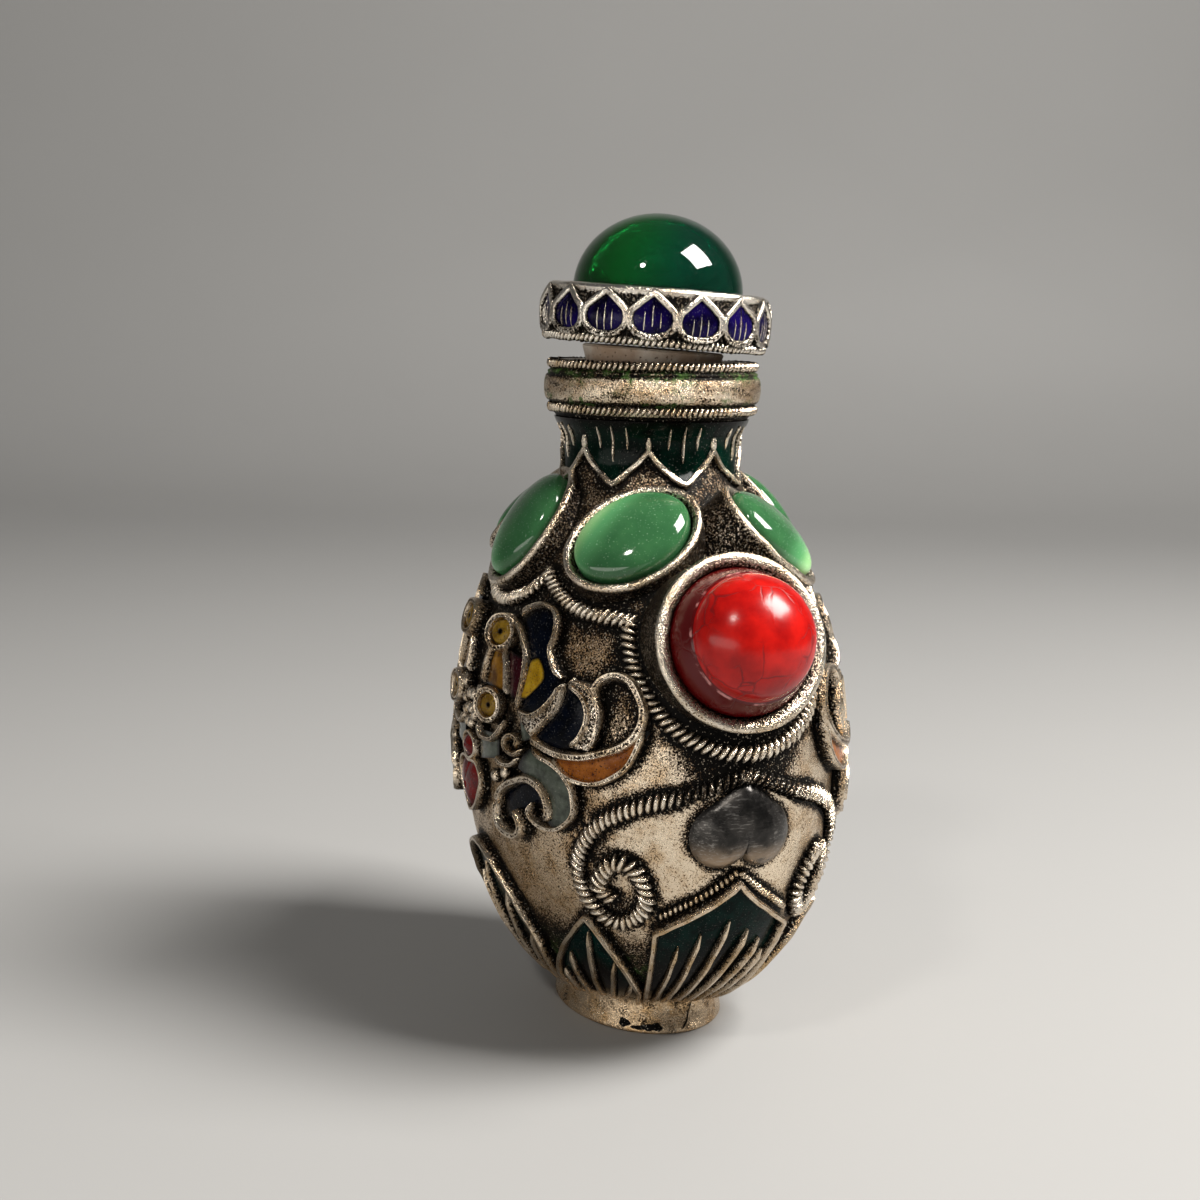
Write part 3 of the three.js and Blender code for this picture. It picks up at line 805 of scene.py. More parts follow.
stoneWork = {
    "fitGap": 0.3,
    "coral": {"long": 6.8, "short": 6.8, "cupWall": 1.05, "lift": 1.5, "wall": 2.4, "shoulder": 0.85,
              "rise": 4.6},
    "coralPlace": {"height": 41.5, "tilt": 18},
    "jade": {"long": 5.8, "short": 4.6, "cupWall": 0.72, "lift": 1.6, "wall": 0, "shoulder": 1,
             "rise": 2.0},
    "jadeDiagonal": {"x": 13.2, "y": 6.3, "height": 49.3, "tilt": 44, "turn": 45},
    "jadeMiddle": {"x": 0, "y": 11.4, "height": 49.3, "tilt": 34, "turn": 90},
    "askew": {"jade_cabochon_back_right": 19},  # set out of true
    # the side of its plane, right and up, that each stone is painted paler towards, a painted glow
    # where light would gather
    "paintedGlow": {"jade_cabochon_front_right": (-1, 0.25), "jade_cabochon_front_mid": (-0.7, -0.5),
             "jade_cabochon_back_right": (0.35, -0.95)},
    "sides": 56,
    "domeRings": 14,
}


def stoneAxes(centre, heading, tilt, turn):
    out = Vector((math.cos(heading), math.sin(heading), 0))
    right = Vector((-out.y, out.x, 0))
    normal = out * math.cos(math.radians(tilt)) + Vector((0, 0, math.sin(math.radians(tilt))))
    up = normal.cross(right)
    axes = Matrix((right, up, normal)).transposed().to_4x4()
    return Matrix.Translation(centre) @ axes @ Matrix.Rotation(math.radians(turn), 4, "Z")


def stoneList():
    stones = []
    place = stoneWork["coralPlace"]
    for side, sign in (("right", 1), ("left", -1)):
        centre = Vector((sign * formAt(place["height"])[0], 0, place["height"]))
        axes = stoneAxes(centre, 0 if sign > 0 else math.pi, place["tilt"], 0)
        stones.append(("coral_cabochon_" + side, axes, stoneWork["coral"], 0, redStone, "red_stone"))
    for face, facing in (("front", -1), ("back", 1)):
        for side, sign in (("mid", 0), ("right", 1), ("left", -1)):
            place = stoneWork["jadeDiagonal" if sign else "jadeMiddle"]
            x, y = sign * place["x"], facing * place["y"]
            a, b = formAt(place["height"])
            turn = -place["turn"] if sign * facing > 0 else place["turn"]
            name = f"jade_cabochon_{face}_{side}"
            heading = math.atan2(y / b ** 2, x / a ** 2) + math.radians(stoneWork["askew"].get(name, 0))
            axes = stoneAxes(Vector((x, y, place["height"])), heading, place["tilt"], turn)
            stones.append((name, axes, stoneWork["jade"], turn, greenStone, "green_stone"))
    return stones


def droppedTo(axes, u, v):
    # where a point of a stone's plane meets the bottle, down the stone's own axis
    outside, inside = 14.0, -14.0
    for _ in range(36):
        middle = (outside + inside) / 2
        point = axes @ Vector((u, v, middle))
        a, b = formAt(point.z)
        if math.hypot(point.x / a, point.y / b) > 1:
            outside = middle
        else:
            inside = middle
    return point, middle


def placeIn(piece, axes):
    # move a piece made about its own origin, in millimetres, to its place on the bottle
    scaled = axes.copy()
    scaled.translation = axes.translation * mm
    piece.data.transform(scaled)


def stoneCup(name, axes, size):
    gap, wall, lift = stoneWork["fitGap"], size["cupWall"], size["lift"]
    profile = [(wall, -3.0), (wall, lift - 0.8), (wall + 0.14, lift - 0.55), (wall + 0.17, lift - 0.25),
               (wall * 0.98, lift + 0.0), (wall * 0.62, lift + 0.06), (wall * 0.3, lift - 0.06),
               (0.0, lift - 0.3), (-0.16, lift - 0.5), (-0.05, 0.1)]
    long, short = size["long"] + gap, size["short"] + gap
    rings = [None] + [(long + out, short + out, z) for out, z in profile] + [None]
    cup = turnedForm(name, rings, stoneWork["sides"])
    grime = []
    for vertex in cup.data.vertices:
        u, v, z = vertex.co / mm
        if z < lift - 1 and math.hypot(u / long, v / short) > 1.02:
            vertex.co.z = (droppedTo(axes, u, v)[1] - 0.6) * mm
        out = math.hypot(u, v) * (1 - long / math.hypot(u, v * size["long"] / size["short"] + 1e-9))
        inner = spreadOf(out, wall * 0.05, wall * 0.5)
        flank = 0.72 if inner > 0.5 else 0.97
        grime.append(mix(flank, mix(0.6, 0.17, inner), spreadOf(z, lift - 0.8, lift - 0.2)))
    setGrime(cup, grime)
    placeIn(cup, axes)
    for i in range(96):
        turn = math.tau * i / 96
        u = (long + wall * 0.5) * math.cos(turn)
        v = (short + wall * 0.5) * math.sin(turn)
        reliefMarks.append((droppedTo(axes, u, v)[0], wall * 0.6))
    return cup


def spreadOf(value, low, high):
    s = min(max((value - low) / (high - low), 0), 1)
    return s * s * (3 - 2 * s)


def stoneDome(name, axes, size, turn):
    top = size["lift"] + size["wall"]
    rings = [None, (0.6, 0.02), (0.96, 0.02), (1, 0.12), (1, size["lift"] - 0.1)]
    if size["wall"]:
        edge = size["shoulder"] + 0.025
        rings += [(0.99, size["lift"] + 0.2), (mix(1, edge, 0.55), mix(size["lift"], top, 0.55)),
                  (edge + 0.02, top - 0.5)]
        rings += [(edge + 0.012, top - 0.22), (edge, top - 0.1)]
    for i in range(stoneWork["domeRings"]):
        angle = i / stoneWork["domeRings"] * math.pi / 2
        rings.append((size["shoulder"] * math.cos(angle), top + size["rise"] * math.sin(angle)))
    long, short = size["long"], size["short"]
    rings = [ring and (ring[0] * long, ring[0] * short, ring[1]) for ring in rings] + [None]
    dome = turnedForm(name, rings, stoneWork["sides"])
    crown = max(dome.data.vertices, key=lambda vertex: vertex.co.z)
    crown.co.z = (top + size["rise"]) * mm
    tone = []
    for vertex in dome.data.vertices:
        u, v, z = vertex.co / mm
        reach = math.hypot(u / size["long"], v / size["short"])
        if not size["wall"]:
            tone.append(reach ** 7)  # thin stone at the edge lets more light back
        # red stones: 0.55 and 1.0 mark the side wall for a painted shade of darker red, 1.0 also for
        # chalky scratches, 0.2 the clear dome
        elif z > top - 0.05:
            tone.append(0.2)
        else:
            tone.append(1.0 if z > top - 0.3 else 0.55)
    setGrime(dome, tone)
    # painted glow: a tone rising towards one side of the stone's plane, read by the green stone as
    # painted lit and pale colours
    side = Vector(stoneWork["paintedGlow"].get(name.replace(".", "_"), (0, -1))).normalized()
    plane = Matrix.Rotation(math.radians(-turn), 2) @ side
    paintedGlow = []
    for vertex in dome.data.vertices:
        u, v, _ = vertex.co / mm
        across, up = u / size["long"], v / size["short"]
        paintedGlow.append(spreadOf((across * plane.x + up * plane.y) * (0.92 + 0.08 * across), -0.1, 1.02))
    setTone(dome, "warmthAndPaintedLight", paintedGlow)
    placeIn(dome, axes)
    return dome


stones = stoneList()
cups = []
for name, axes, size, turn, material, slotName in stones:
    cups.append(stoneCup("cup", axes, size))
    finishPiece(stoneDome(name.replace("_", "."), axes, size, turn), name, material, 60)
finishOnBottle(handmade(joinPieces("stoneCups", cups), 0.09, 0.25), antiqueSilver, 50)
print("stones set", len(stones))


# Twisted rope lines

ropeWork = {
    "bead": {"long": 0.94, "thick": 0.315, "high": 0.74, "slant": -27},
    "pitch": 0.72,
    "sink": -0.14,
    "growth": 1.22,
    "soot": {"dark": 0.65, "across": (4.2, 8.0), "heights": (26, 30.8)},  # over the hearts
    "ring": {"across": 8.95, "up": 10.0, "from": 164, "to": 376},
    "underDiagonal": [(-68, 45.9), (-59, 44.2), (-51, 43.4), (-42, 43.1), (-34, 42.9)],
    "underMiddle": [(-112, 45.9), (-104, 43.9), (-90, 42.7), (-76, 43.9), (-68, 45.9)],
    "volute": [(0.4, 30.0), (-7, 29.4), (-15, 28.3), (-30, 26.8), (-42, 24.1), (-47, 19.7), (-41, 15.7),
               (-33, 14.9), (-26.5, 17.3), (-30, 20.6), (-36.5, 21.0), (-40.5, 18.6), (-37, 17.4)],
    "edgeBead": {"long": 0.46, "thick": 0.25, "high": 0.4, "slant": -30},
    "edgePitch": 0.56,
}


def ropeRingSpots(axes):
    ring = ropeWork["ring"]
    spots = []
    for i in range(73):
        turn = math.radians(mix(ring["from"], ring["to"], i / 72))
        point, _ = droppedTo(axes, ring["across"] * math.cos(turn), ring["up"] * math.sin(turn))
        a, b = formAt(point.z)
        spots.append((math.degrees(math.atan2(point.y / b, point.x / a)), point.z))
    return spots


def bodyRopes():
    lines = [(ropeRingSpots(axes), 1.0) for name, axes, *_ in stones if name.startswith("coral")]
    lines += [(spots, 1.0) for spots in mirrorSpots(smoothLine(ropeWork["underDiagonal"], 40))]
    lines += [(spots, 1.0) for spots in mirrorSpots(smoothLine(ropeWork["underMiddle"], 60))[:2]]
    lines += [(spots, ropeWork["growth"]) for spots in mirrorSpots(smoothLine(ropeWork["volute"], 160))]
    bead = ropeBead(**ropeWork["bead"])
    ropes = []

    def soot(point):
        low, high = ropeWork["soot"]["heights"]
        if not low < point.z < high:
            return 0
        return ropeWork["soot"]["dark"] * (1 - spreadOf(abs(point.y), *ropeWork["soot"]["across"]))

    for spots, growth in lines:
        frames = evenFrames(spots, ropeWork["pitch"])
        reliefMarks.extend((frameAt[0].copy(), ropeWork["bead"]["long"]) for frameAt in frames)
        ropes.append(strungBeads("rope", bead, frames, ropeWork["sink"], soot, growth))
    bpy.data.objects.remove(bead)
    return joinPieces("bodyRopes", ropes)


def ringFrames(radius, z, pitch):
    count = round(math.tau * radius / pitch)
    frames = []
    for i in range(count):
        turn = math.tau * i / count
        out = Vector((math.cos(turn), math.sin(turn), 0))
        along = Vector((-out.y, out.x, 0))
        frames.append((out * radius + Vector((0, 0, z)), Vector((0, 0, 1)), out, along))
    return frames


def collarRopes():
    bead = ropeBead(**collar["ropeBead"])
    ropes = []
    for key in ("topRope", "lowRope"):
        ropes.append(strungBeads("rope", bead, ringFrames(*collar[key], ropeWork["edgePitch"]), 0))
    bpy.data.objects.remove(bead)
    return joinPieces("collarRopes", ropes)


finishOnBottle(handmade(bodyRopes(), 0.08, 0.15), antiqueSilver, 80)
finishOnBottle(handmade(collarRopes(), 0.06, 0.55), antiqueSilver, 80)
print("ropes laid")


# Lotus petals rising from the foot, and the pointed petals hanging on the neck

footPetals = {
    "side": {"half": 23.6, "shoulder": 14.6, "tip": 19.9, "full": 0.82, "fan": "leaning"},
    "small": {"half": 19.3, "shoulder": 6.6, "tip": 15.0, "full": 1.12, "fan": "even"},
    "face": {"half": 24.3, "shoulder": 10.0, "tip": 18.4, "full": 1.8, "fan": "even"},
    "order": [(0, "side"), (44.6, "small"), (90, "face"), (135.4, "small"),
              (180, "side"), (224.6, "small"), (270, "face"), (315.4, "small")],
    "base": 4.1,
    "rim": {"half": 0.27, "height": 1.1},
    "rib": {"half": 0.22, "height": 0.95},
    # where each rib starts and ends across the petal, and how far up it runs
    "leaning": [(-0.80, -0.64, 0.72), (-0.56, -0.36, 0.76), (-0.33, 0.0, 0.74), (-0.10, 0.34, 0.76),
                (0.16, 0.62, 0.74), (0.5, 0.84, 0.66)],
    "even": [(-0.62, -0.78, 0.72), (-0.36, -0.44, 0.8), (-0.02, 0.0, 0.84), (0.32, 0.44, 0.8),
             (0.62, 0.78, 0.72)],
    "glazeLift": 0.3,
    "cord": {"rise": 1.15, "from": -0.93, "to": 0.93},
}


def petalTop(petal, p):
    return petal["shoulder"] + (petal["tip"] - petal["shoulder"]) * (1 - abs(p) ** petal["full"])


def petalPieces(middle, petal):
    base = footPetals["base"]
    outline = []
    for i in range(9):
        outline.append((middle - petal["half"] * 0.97, mix(base, petalTop(petal, 1), i / 9)))
    for i in range(33):
        p = i / 16 - 1
        outline.append((middle + p * petal["half"] * 0.97, petalTop(petal, p)))
    for i in range(1, 10):
        outline.append((middle + petal["half"] * 0.97, mix(petalTop(petal, 1), base, i / 9)))
    rim = skinFrames(smoothLine(outline, 72))
    wires = [sweptWall("rim", rim, wallSection(**footPetals["rim"]), endScale=0.8)]
    for start, end, reach in footPetals[petal["fan"]]:
        spots = []
        for i in range(17):
            q = i / 16
            p = mix(start, end, q ** 0.85)
            high = mix(base, petalTop(petal, end), reach)
            spots.append((middle + p * petal["half"], mix(base + 0.2, high, q)))
        section = wallSection(**footPetals["rib"], topGrime=0.25)
        wires.append(sweptWall("rib", skinFrames(spots), section, endScale=0.25))

    def place(u, v):
        p = 2 * u - 1
        dark = max(1.0 - spreadOf(v, 0.35, 0.95), 0.9 * abs(p) ** 8, 0.9 * v ** 14)
        z = mix(base, petalTop(petal, p), v)
        return above(middle + p * petal["half"], z, footPetals["glazeLift"]), dark

    return wires, enamelPatch("glaze", 16, 14, place, skinNormal(middle, 10))


def petalCords():
    # a fine twisted cord along the upper edge of each side petal
    cord, petal = footPetals["cord"], footPetals["side"]
    bead = ropeBead(**ropeWork["edgeBead"])
    pieces = []
    for middle in (0, 180):
        for low, high in ((cord["from"], -0.04), (0.04, cord["to"])):
            spots = []
            for i in range(31):
                p = mix(low, high, i / 30)
                spots.append((middle + p * petal["half"], petalTop(petal, p) + cord["rise"]))
            frames = evenFrames(spots, ropeWork["edgePitch"])
            reliefMarks.extend((frameAt[0].copy(), 0.45) for frameAt in frames)
            pieces.append(strungBeads("cord", bead, frames, -0.1))
    bpy.data.objects.remove(bead)
    return pieces


def footSkirt():
    wires, glazes = [], []
    for middle, kind in footPetals["order"]:
        petalWires, petalGlaze = petalPieces(middle, footPetals[kind])
        wires += petalWires
        glazes.append(petalGlaze)
    wirework = handmade(joinPieces("footPetalWires", wires + petalCords()), 0.09, 0.75)
    finishOnBottle(wirework, antiqueSilver, 50)
    finishOnBottle(joinPieces("footPetalGlaze", glazes), petalGreen, 50)


neckPetals = {
    "petals": 8,
    "top": 60.75,
    "stem": 59.3,
    "vee": 57.9,
    "tip": 54.4,
    "wire": {"half": 0.28, "height": 0.66},
    "line": {"half": 0.12, "height": 0.54},
    "lines": [(-0.42, 60.3, 58.0), (0.0, 60.4, 56.8), (0.42, 60.3, 58.0)],
    "glazeLift": (0.36, 0.32),  # at the points and under the collar
}


def neckEdge(p):
    return mix(neckPetals["tip"], neckPetals["vee"], abs(p) ** 1.25)


def neckSkirt():
    wires, glazes = [], []
    step = 360 / neckPetals["petals"]
    for k in range(neckPetals["petals"]):
        middle = k * step
        edge = [(middle + (i / 10 - 1) * step * 0.5, neckEdge(i / 10 - 1)) for i in range(21)]
        wires.append(sweptWall("vee", skinFrames(edge), wallSection(**neckPetals["wire"]),
                               endScale=0.9))
        low, high = neckPetals["vee"] - 0.2, neckPetals["stem"]
        stem = [(middle + step * 0.5, mix(low, high, i / 6)) for i in range(7)]
        wires.append(sweptWall("stem", skinFrames(stem), wallSection(**neckPetals["wire"]),
                               endScale=0.4))
        for across, high, low in neckPetals["lines"]:
            spots = [(middle + across * step * 0.5, mix(high, low, i / 8)) for i in range(9)]
            section = wallSection(**neckPetals["line"], topGrime=0.4)
            wires.append(sweptWall("line", skinFrames(spots), section, endScale=0.4, mark=False))

        def place(u, v):
            p = 2 * u - 1
            dark = max(0.75 * abs(p) ** 4, 0.85 * v ** 3)
            lift = mix(*neckPetals["glazeLift"], spreadOf(v, 0, 0.6))
            return above(middle + p * step * 0.5, mix(neckEdge(p), neckPetals["top"], v), lift), dark

        glazes.append(enamelPatch("glaze", 10, 8, place, skinNormal(middle, 58), 0.6))
    wirework = handmade(joinPieces("neckPetalWires", wires), 0.09, 0.2)
    finishOnBottle(wirework, antiqueSilver, 50)
    finishOnBottle(joinPieces("neckPetalGlaze", glazes), neckGreen, 50)


footSkirt()
neckSkirt()
print("petals laid")


# Heart under the rope ring on each narrow side

heart = {
    # half outline: across in mm, height
    "outline": [(0, 22.4), (0.7, 21.7), (1.7, 21.25), (2.8, 21.3), (3.9, 21.9), (4.65, 23.0),
                (4.9, 24.3), (4.6, 25.7), (3.8, 26.8), (2.6, 27.7), (1.3, 28.6), (0, 29.4)],
    "centre": 25.0,
    "lobe": (2.4, 23.9, 2.1),
    "swell": 1.15,
    "lobeSwell": 0.55,
    "edge": 0.1,
}


def sideHeart(middle):
    degrees = math.degrees(1 / formAt(25)[1])
    half = smoothLine(heart["outline"], 26)
    outline = [(middle + u * degrees, z) for u, z in half]
    outline += [(middle - u * degrees, z) for u, z in reversed(half[1:-1])]

    def lift(spot, v):
        across = math.hypot((spot[0] - middle) / degrees, 1.1)
        lobe = math.hypot(across - heart["lobe"][0], spot[1] - heart["lobe"][1]) / heart["lobe"][2]
        swell = max(1 - v * v, 0) ** 0.55
        height = heart["edge"] + swell * (heart["swell"] + heart["lobeSwell"] * math.exp(-lobe * lobe))
        return height, mix(0.5, 0.1, swell) + 0.3 * spreadOf(spot[1], 26.5, 29)

    reliefMarks.extend((skinPoint(*spot), 0.1) for spot in outline)
    piece = fanPatch("heart", outline, (middle, heart["centre"]), 12, lift, 1.0)
    rubbed = [1 - spreadOf(vertex.co.z / mm, 21.6, 24.2) for vertex in piece.data.vertices]
    setTone(piece, "warmthAndPaintedLight", rubbed)
    return piece


finishOnBottle(joinPieces("hearts", [sideHeart(0), sideHeart(180)]), gunMetal, 60)
print("hearts set")


# Butterfly on each broad face: wires, and glaze between pairs of edges; the right half of the front

butterfly = {
    "wire": {"half": 0.27, "height": 1.3},
    "bold": {"half": 0.4, "height": 1.5},
    "boldLines": ["bigCurl", "tailInner", "hook"],
    "lines": {
        "bigCurl": [(18.9, 36.1), (18.6, 36.9), (18.9, 37.7), (19.7, 38.2), (20.8, 37.9), (21.7, 36.8),
                    (22.3, 35.3), (22.3, 33.8), (21.6, 32.4), (20.0, 31.3), (17.8, 30.6), (15.7, 30.6),
                    (13.9, 31.0), (12.4, 31.4)],
        "crescent": [(22.5, 34.0), (22.2, 31.5), (21.5, 29.9), (20.0, 28.7), (18.4, 28.4), (16.8, 28.8),
                     (15.5, 30.0)],
        "bandOuter": [(10.1, 33.4), (12.0, 33.3), (13.6, 34.2), (14.7, 35.6), (15.2, 36.8)],
        "bandInner": [(12.5, 31.4), (13.6, 32.6), (14.8, 34.0), (15.5, 35.4), (15.6, 36.8)],
        "leafInner": [(15.9, 36.9), (17.3, 36.3), (18.2, 35.2), (18.4, 33.8), (17.9, 32.2),
                      (17.1, 31.4)],
        "leafOuter": [(16.0, 37.1), (17.7, 36.9), (18.9, 35.7), (19.4, 34.1), (19.3, 32.4),
                      (18.8, 31.4)],
        "wingTop": [(7.1, 41.8), (7.9, 42.6), (9.5, 43.2), (11.3, 42.9), (12.3, 42.1), (12.8, 40.8),
                    (12.9, 39.4), (13.7, 38.2), (14.9, 37.3)],
        "wingLeft": [(6.2, 41.3), (7.6, 40.8), (8.8, 39.8), (10.0, 38.4), (10.4, 36.6), (10.3, 35.0),
                     (9.9, 33.7)],
        "stemInner": [(3.4, 38.5), (2.9, 36.9), (2.8, 34.9)],
        "stemOuter": [(6.1, 38.6), (7.2, 36.7), (7.9, 34.6)],
        "ringletOne": [(2.4, 30.9), (3.6, 29.7), (6.1, 30.0), (7.7, 31.3), (7.9, 32.1)],
        "ringletTwo": [(11.4, 30.0), (10.3, 29.4), (8.7, 29.7), (8.7, 30.5), (9.9, 31.1), (10.7, 30.7),
                       (10.2, 30.0)],
        "ringletThree": [(7.0, 28.4), (8.3, 28.0), (9.8, 28.2), (11.0, 29.1)],
        "tailOuter": [(12.6, 30.6), (13.9, 29.9), (15.5, 29.5), (16.8, 28.7), (17.6, 27.5),
                      (17.7, 25.7), (16.8, 24.2), (15.1, 23.3), (13.6, 23.4), (12.5, 24.3),
                      (12.8, 25.2)],
        "tailInner": [(7.4, 23.9), (8.2, 25.4), (10.3, 26.7), (12.6, 27.5), (14.1, 27.2), (14.9, 26.3),
                      (15.2, 24.9), (14.4, 24.0)],
        "hook": [(7.4, 24.3), (7.2, 22.6), (8.5, 21.7), (10.3, 21.6), (11.2, 22.5), (10.8, 23.7),
                 (10.0, 23.6)],
    },
    "glazes": [
        (wingNavy, 0.75, [(15.6, 36.8), (15.5, 35.4), (14.8, 34.0), (13.6, 32.6), (12.5, 31.4)],
         [(15.9, 36.9), (17.3, 36.3), (18.2, 35.2), (18.4, 33.8), (17.9, 32.2), (16.5, 31.0),
          (14.2, 31.0)]),
        (wingNavy, 0.6, [(7.1, 41.8), (8.8, 39.8), (10.0, 38.4), (10.4, 36.6), (10.3, 35.0),
                         (10.0, 33.5)],
         [(9.5, 43.2), (12.3, 42.1), (12.8, 40.8), (12.9, 39.4), (14.9, 37.3), (14.7, 35.6),
          (13.6, 34.2), (12.0, 33.3)]),
        (wingYellow, 0.85, [(10.6, 38.2), (10.4, 36.6), (10.0, 34.6)],
         [(11.7, 38.7), (13.0, 36.9), (11.0, 34.7)]),
        (wingOrange, 0.8, [(22.4, 34.0), (21.9, 32.6), (20.2, 31.3), (17.8, 30.6), (15.9, 30.4)],
         [(22.5, 33.8), (22.2, 31.5), (21.5, 29.9), (20.0, 28.7), (18.4, 28.4), (16.8, 28.8),
          (15.6, 30.0)]),
        (tailGrey, 0.95, [(12.4, 30.4), (13.9, 29.9), (15.5, 29.5), (16.8, 28.7), (17.6, 27.5),
                          (17.7, 25.7), (16.8, 24.2), (15.6, 23.5)],
         [(10.9, 28.2), (12.6, 27.6), (14.1, 27.2), (14.9, 26.3), (15.2, 24.9), (14.8, 24.0)]),
        (wingNavy, 0.4, [(8.0, 25.0), (8.9, 26.0), (10.6, 26.8), (12.6, 27.4), (14.0, 27.1),
                         (14.8, 26.2)],
         [(8.2, 22.6), (9.6, 22.3), (10.6, 22.6), (11.6, 23.6), (12.7, 24.9), (14.0, 24.6)]),
        (tailGrey, 0.7, [(2.6, 30.2), (2.9, 27.4)], [(7.0, 30.6), (7.2, 28.3)]),
        (tailGrey, 0.7, [(10.1, 33.3), (11.0, 30.6)], [(12.6, 33.0), (12.4, 31.2)]),
        (stemAmber, 0.7, [(3.6, 38.4), (3.1, 36.9), (3.0, 34.8)],
         [(6.0, 38.4), (7.1, 36.7), (7.7, 34.7)]),
        (wineRed, 0.7, [(6.3, 38.6), (7.4, 36.7), (8.1, 34.6)],
         [(9.6, 38.2), (10.1, 36.6), (9.7, 34.2)]),
        (antiqueSilver, 0.95, [(10.1, 33.4), (12.0, 33.3), (13.6, 34.2), (14.7, 35.6), (15.2, 36.8)],
         [(12.5, 31.4), (13.6, 32.6), (14.8, 34.0), (15.5, 35.4), (15.6, 36.8)]),
        (antiqueSilver, 0.95, [(15.9, 36.9), (17.3, 36.3), (18.2, 35.2), (18.4, 33.8), (17.9, 32.2),
                               (17.1, 31.4)],
         [(16.0, 37.1), (17.7, 36.9), (18.9, 35.7), (19.4, 34.1), (19.3, 32.4), (18.8, 31.4)]),
    ],
    "eyes": [((4.6, 39.9), 1.6, 1.5), ((4.9, 33.1), 1.45, 1.4)],
    "eyeTurn": {0: 26, 180: -8},  # the eyes look a little towards the right side
    "eyeRing": {"half": 0.34, "height": 1.9},
    # half outlines of the red petals under the body
    "redPetals": [[(0, 29.3), (1.5, 28.9), (1.9, 27.9), (1.2, 27.1), (0, 26.8)],
                  [(0, 26.6), (2.1, 26.7), (3.3, 25.6), (3.0, 24.0), (1.6, 22.4), (0, 21.6)]],
    "granules": [(0.5, 33.2), (1.7, 32.6), (0.6, 31.8), (1.6, 31.3), (0.5, 30.4), (7.1, 26.6),
                 (8.7, 27.2), (2.6, 34.0)],
}


def butterflyPieces():
    wires = []
    glazes = {}
    for key, points in butterfly["lines"].items():
        spots = [faceSpot(x, z) for x, z in smoothLine(points, 10 + 3 * len(points))]
        kind = "bold" if key in butterfly["boldLines"] else "wire"
        section = wallSection(**butterfly[kind], topGrime=0.55)
        for copy in mirrorSpots(spots):
            wires.append(sweptWall(key, skinFrames(copy), section))
    for material, lift, left, right in butterfly["glazes"]:
        rows = 14
        edges = [smoothLine(left, rows), smoothLine(right, rows)]
        spots = [[faceSpot(*edge[i]) for edge in edges] for i in range(rows + 1)]
        for start, sign in quarters:
            def place(u, v):
                first, second = spots[round(v * rows)]
                angle = mix(first[0], second[0], u)
                z = mix(first[1], second[1], u)
                dark = max(abs(2 * u - 1), abs(2 * v - 1)) ** 4 * 0.95
                if material == antiqueSilver:
                    dark = 0.62 - 0.3 * abs(2 * u - 1)
                return above(start + sign * angle, z, lift + 0.18 * math.sin(math.pi * u)), dark

            middle = spots[rows // 2][0]
            outward = skinNormal(start + sign * middle[0], middle[1])
            glazes.setdefault(material.name, []).append(enamelPatch("glaze", 6, rows, place, outward))
    for (x, z), radius, depth in butterfly["eyes"]:
        for start, sign in quarters:
            angle, height = faceSpot(x, z)
            angle = start + sign * angle
            axes = eyeAxes(angle, height, sign * butterfly["eyeTurn"][start])
            wires.append(eyeRing(axes, radius))
            glazes.setdefault(eyeAmber.name, []).append(eyeGlaze(axes, radius * 0.82, depth))
    for half in butterfly["redPetals"]:
        outline = half + [(-x, z) for x, z in reversed(half[1:-1])]
        spots = [faceSpot(x, z) for x, z in smoothLine(outline, 40, True)]
        centre = faceSpot(0, (half[0][1] + half[-1][1]) / 2)
        for start in (0, 180):
            turned = [(start + angle, z) for angle, z in spots]
            wires.append(sweptWall("petal", skinFrames(turned, True), wallSection(0.2, 1.15), True))
            patch = fanPatch("glaze", turned, (start + centre[0], centre[1]), 6, petalSwell)
            glazes.setdefault(petalRed.name, []).append(patch)
    return wires, glazes


def petalSwell(spot, v):
    return 0.75 + 0.75 * (1 - v * v), 0.8 * v ** 8


def eyeAxes(angle, z, turn=0):
    normal = Matrix.Rotation(math.radians(turn), 3, "Z") @ skinNormal(angle, z)
    side = Vector((0, 0, 1)).cross(normal).normalized()
    axes = Matrix((side, normal.cross(side), normal)).transposed().to_4x4()
    return Matrix.Translation(skinPoint(angle, z)) @ axes


def eyeRing(axes, radius):
    turns = [math.tau * i / 24 for i in range(24)]
    points = [axes @ Vector((radius * math.cos(turn), radius * math.sin(turn), 0)) for turn in turns]
    normals = [axes.col[2].xyz] * 24
    section = wallSection(**butterfly["eyeRing"], sink=1.2, topGrime=0.65)
    return sweptWall("eye", lineFrames(points, normals, True), section, True)


def eyeGlaze(axes, radius, depth):
    # share of the radius and height, from the buried foot to the pupil
    profile = [(1, -0.6), (1, depth * 0.9), (0.8, depth + 0.2), (0.45, depth + 0.3),
               (0.16, depth + 0.25), (0.1, depth - 0.1)]
    rings = [None] + [(radius * share, radius * share, z) for share, z in profile] + [None]
    piece = turnedForm("eyeGlaze", rings, 20)
    grime = []
    for vertex in piece.data.vertices:
        reach = math.hypot(*vertex.co.xy) / mm / radius
        grime.append(max(0.75 * spreadOf(reach, 0.7, 1.0), 0.9 * (1 - spreadOf(reach, 0.14, 0.3))))
    setGrime(piece, grime)
    placeIn(piece, axes)
    return piece


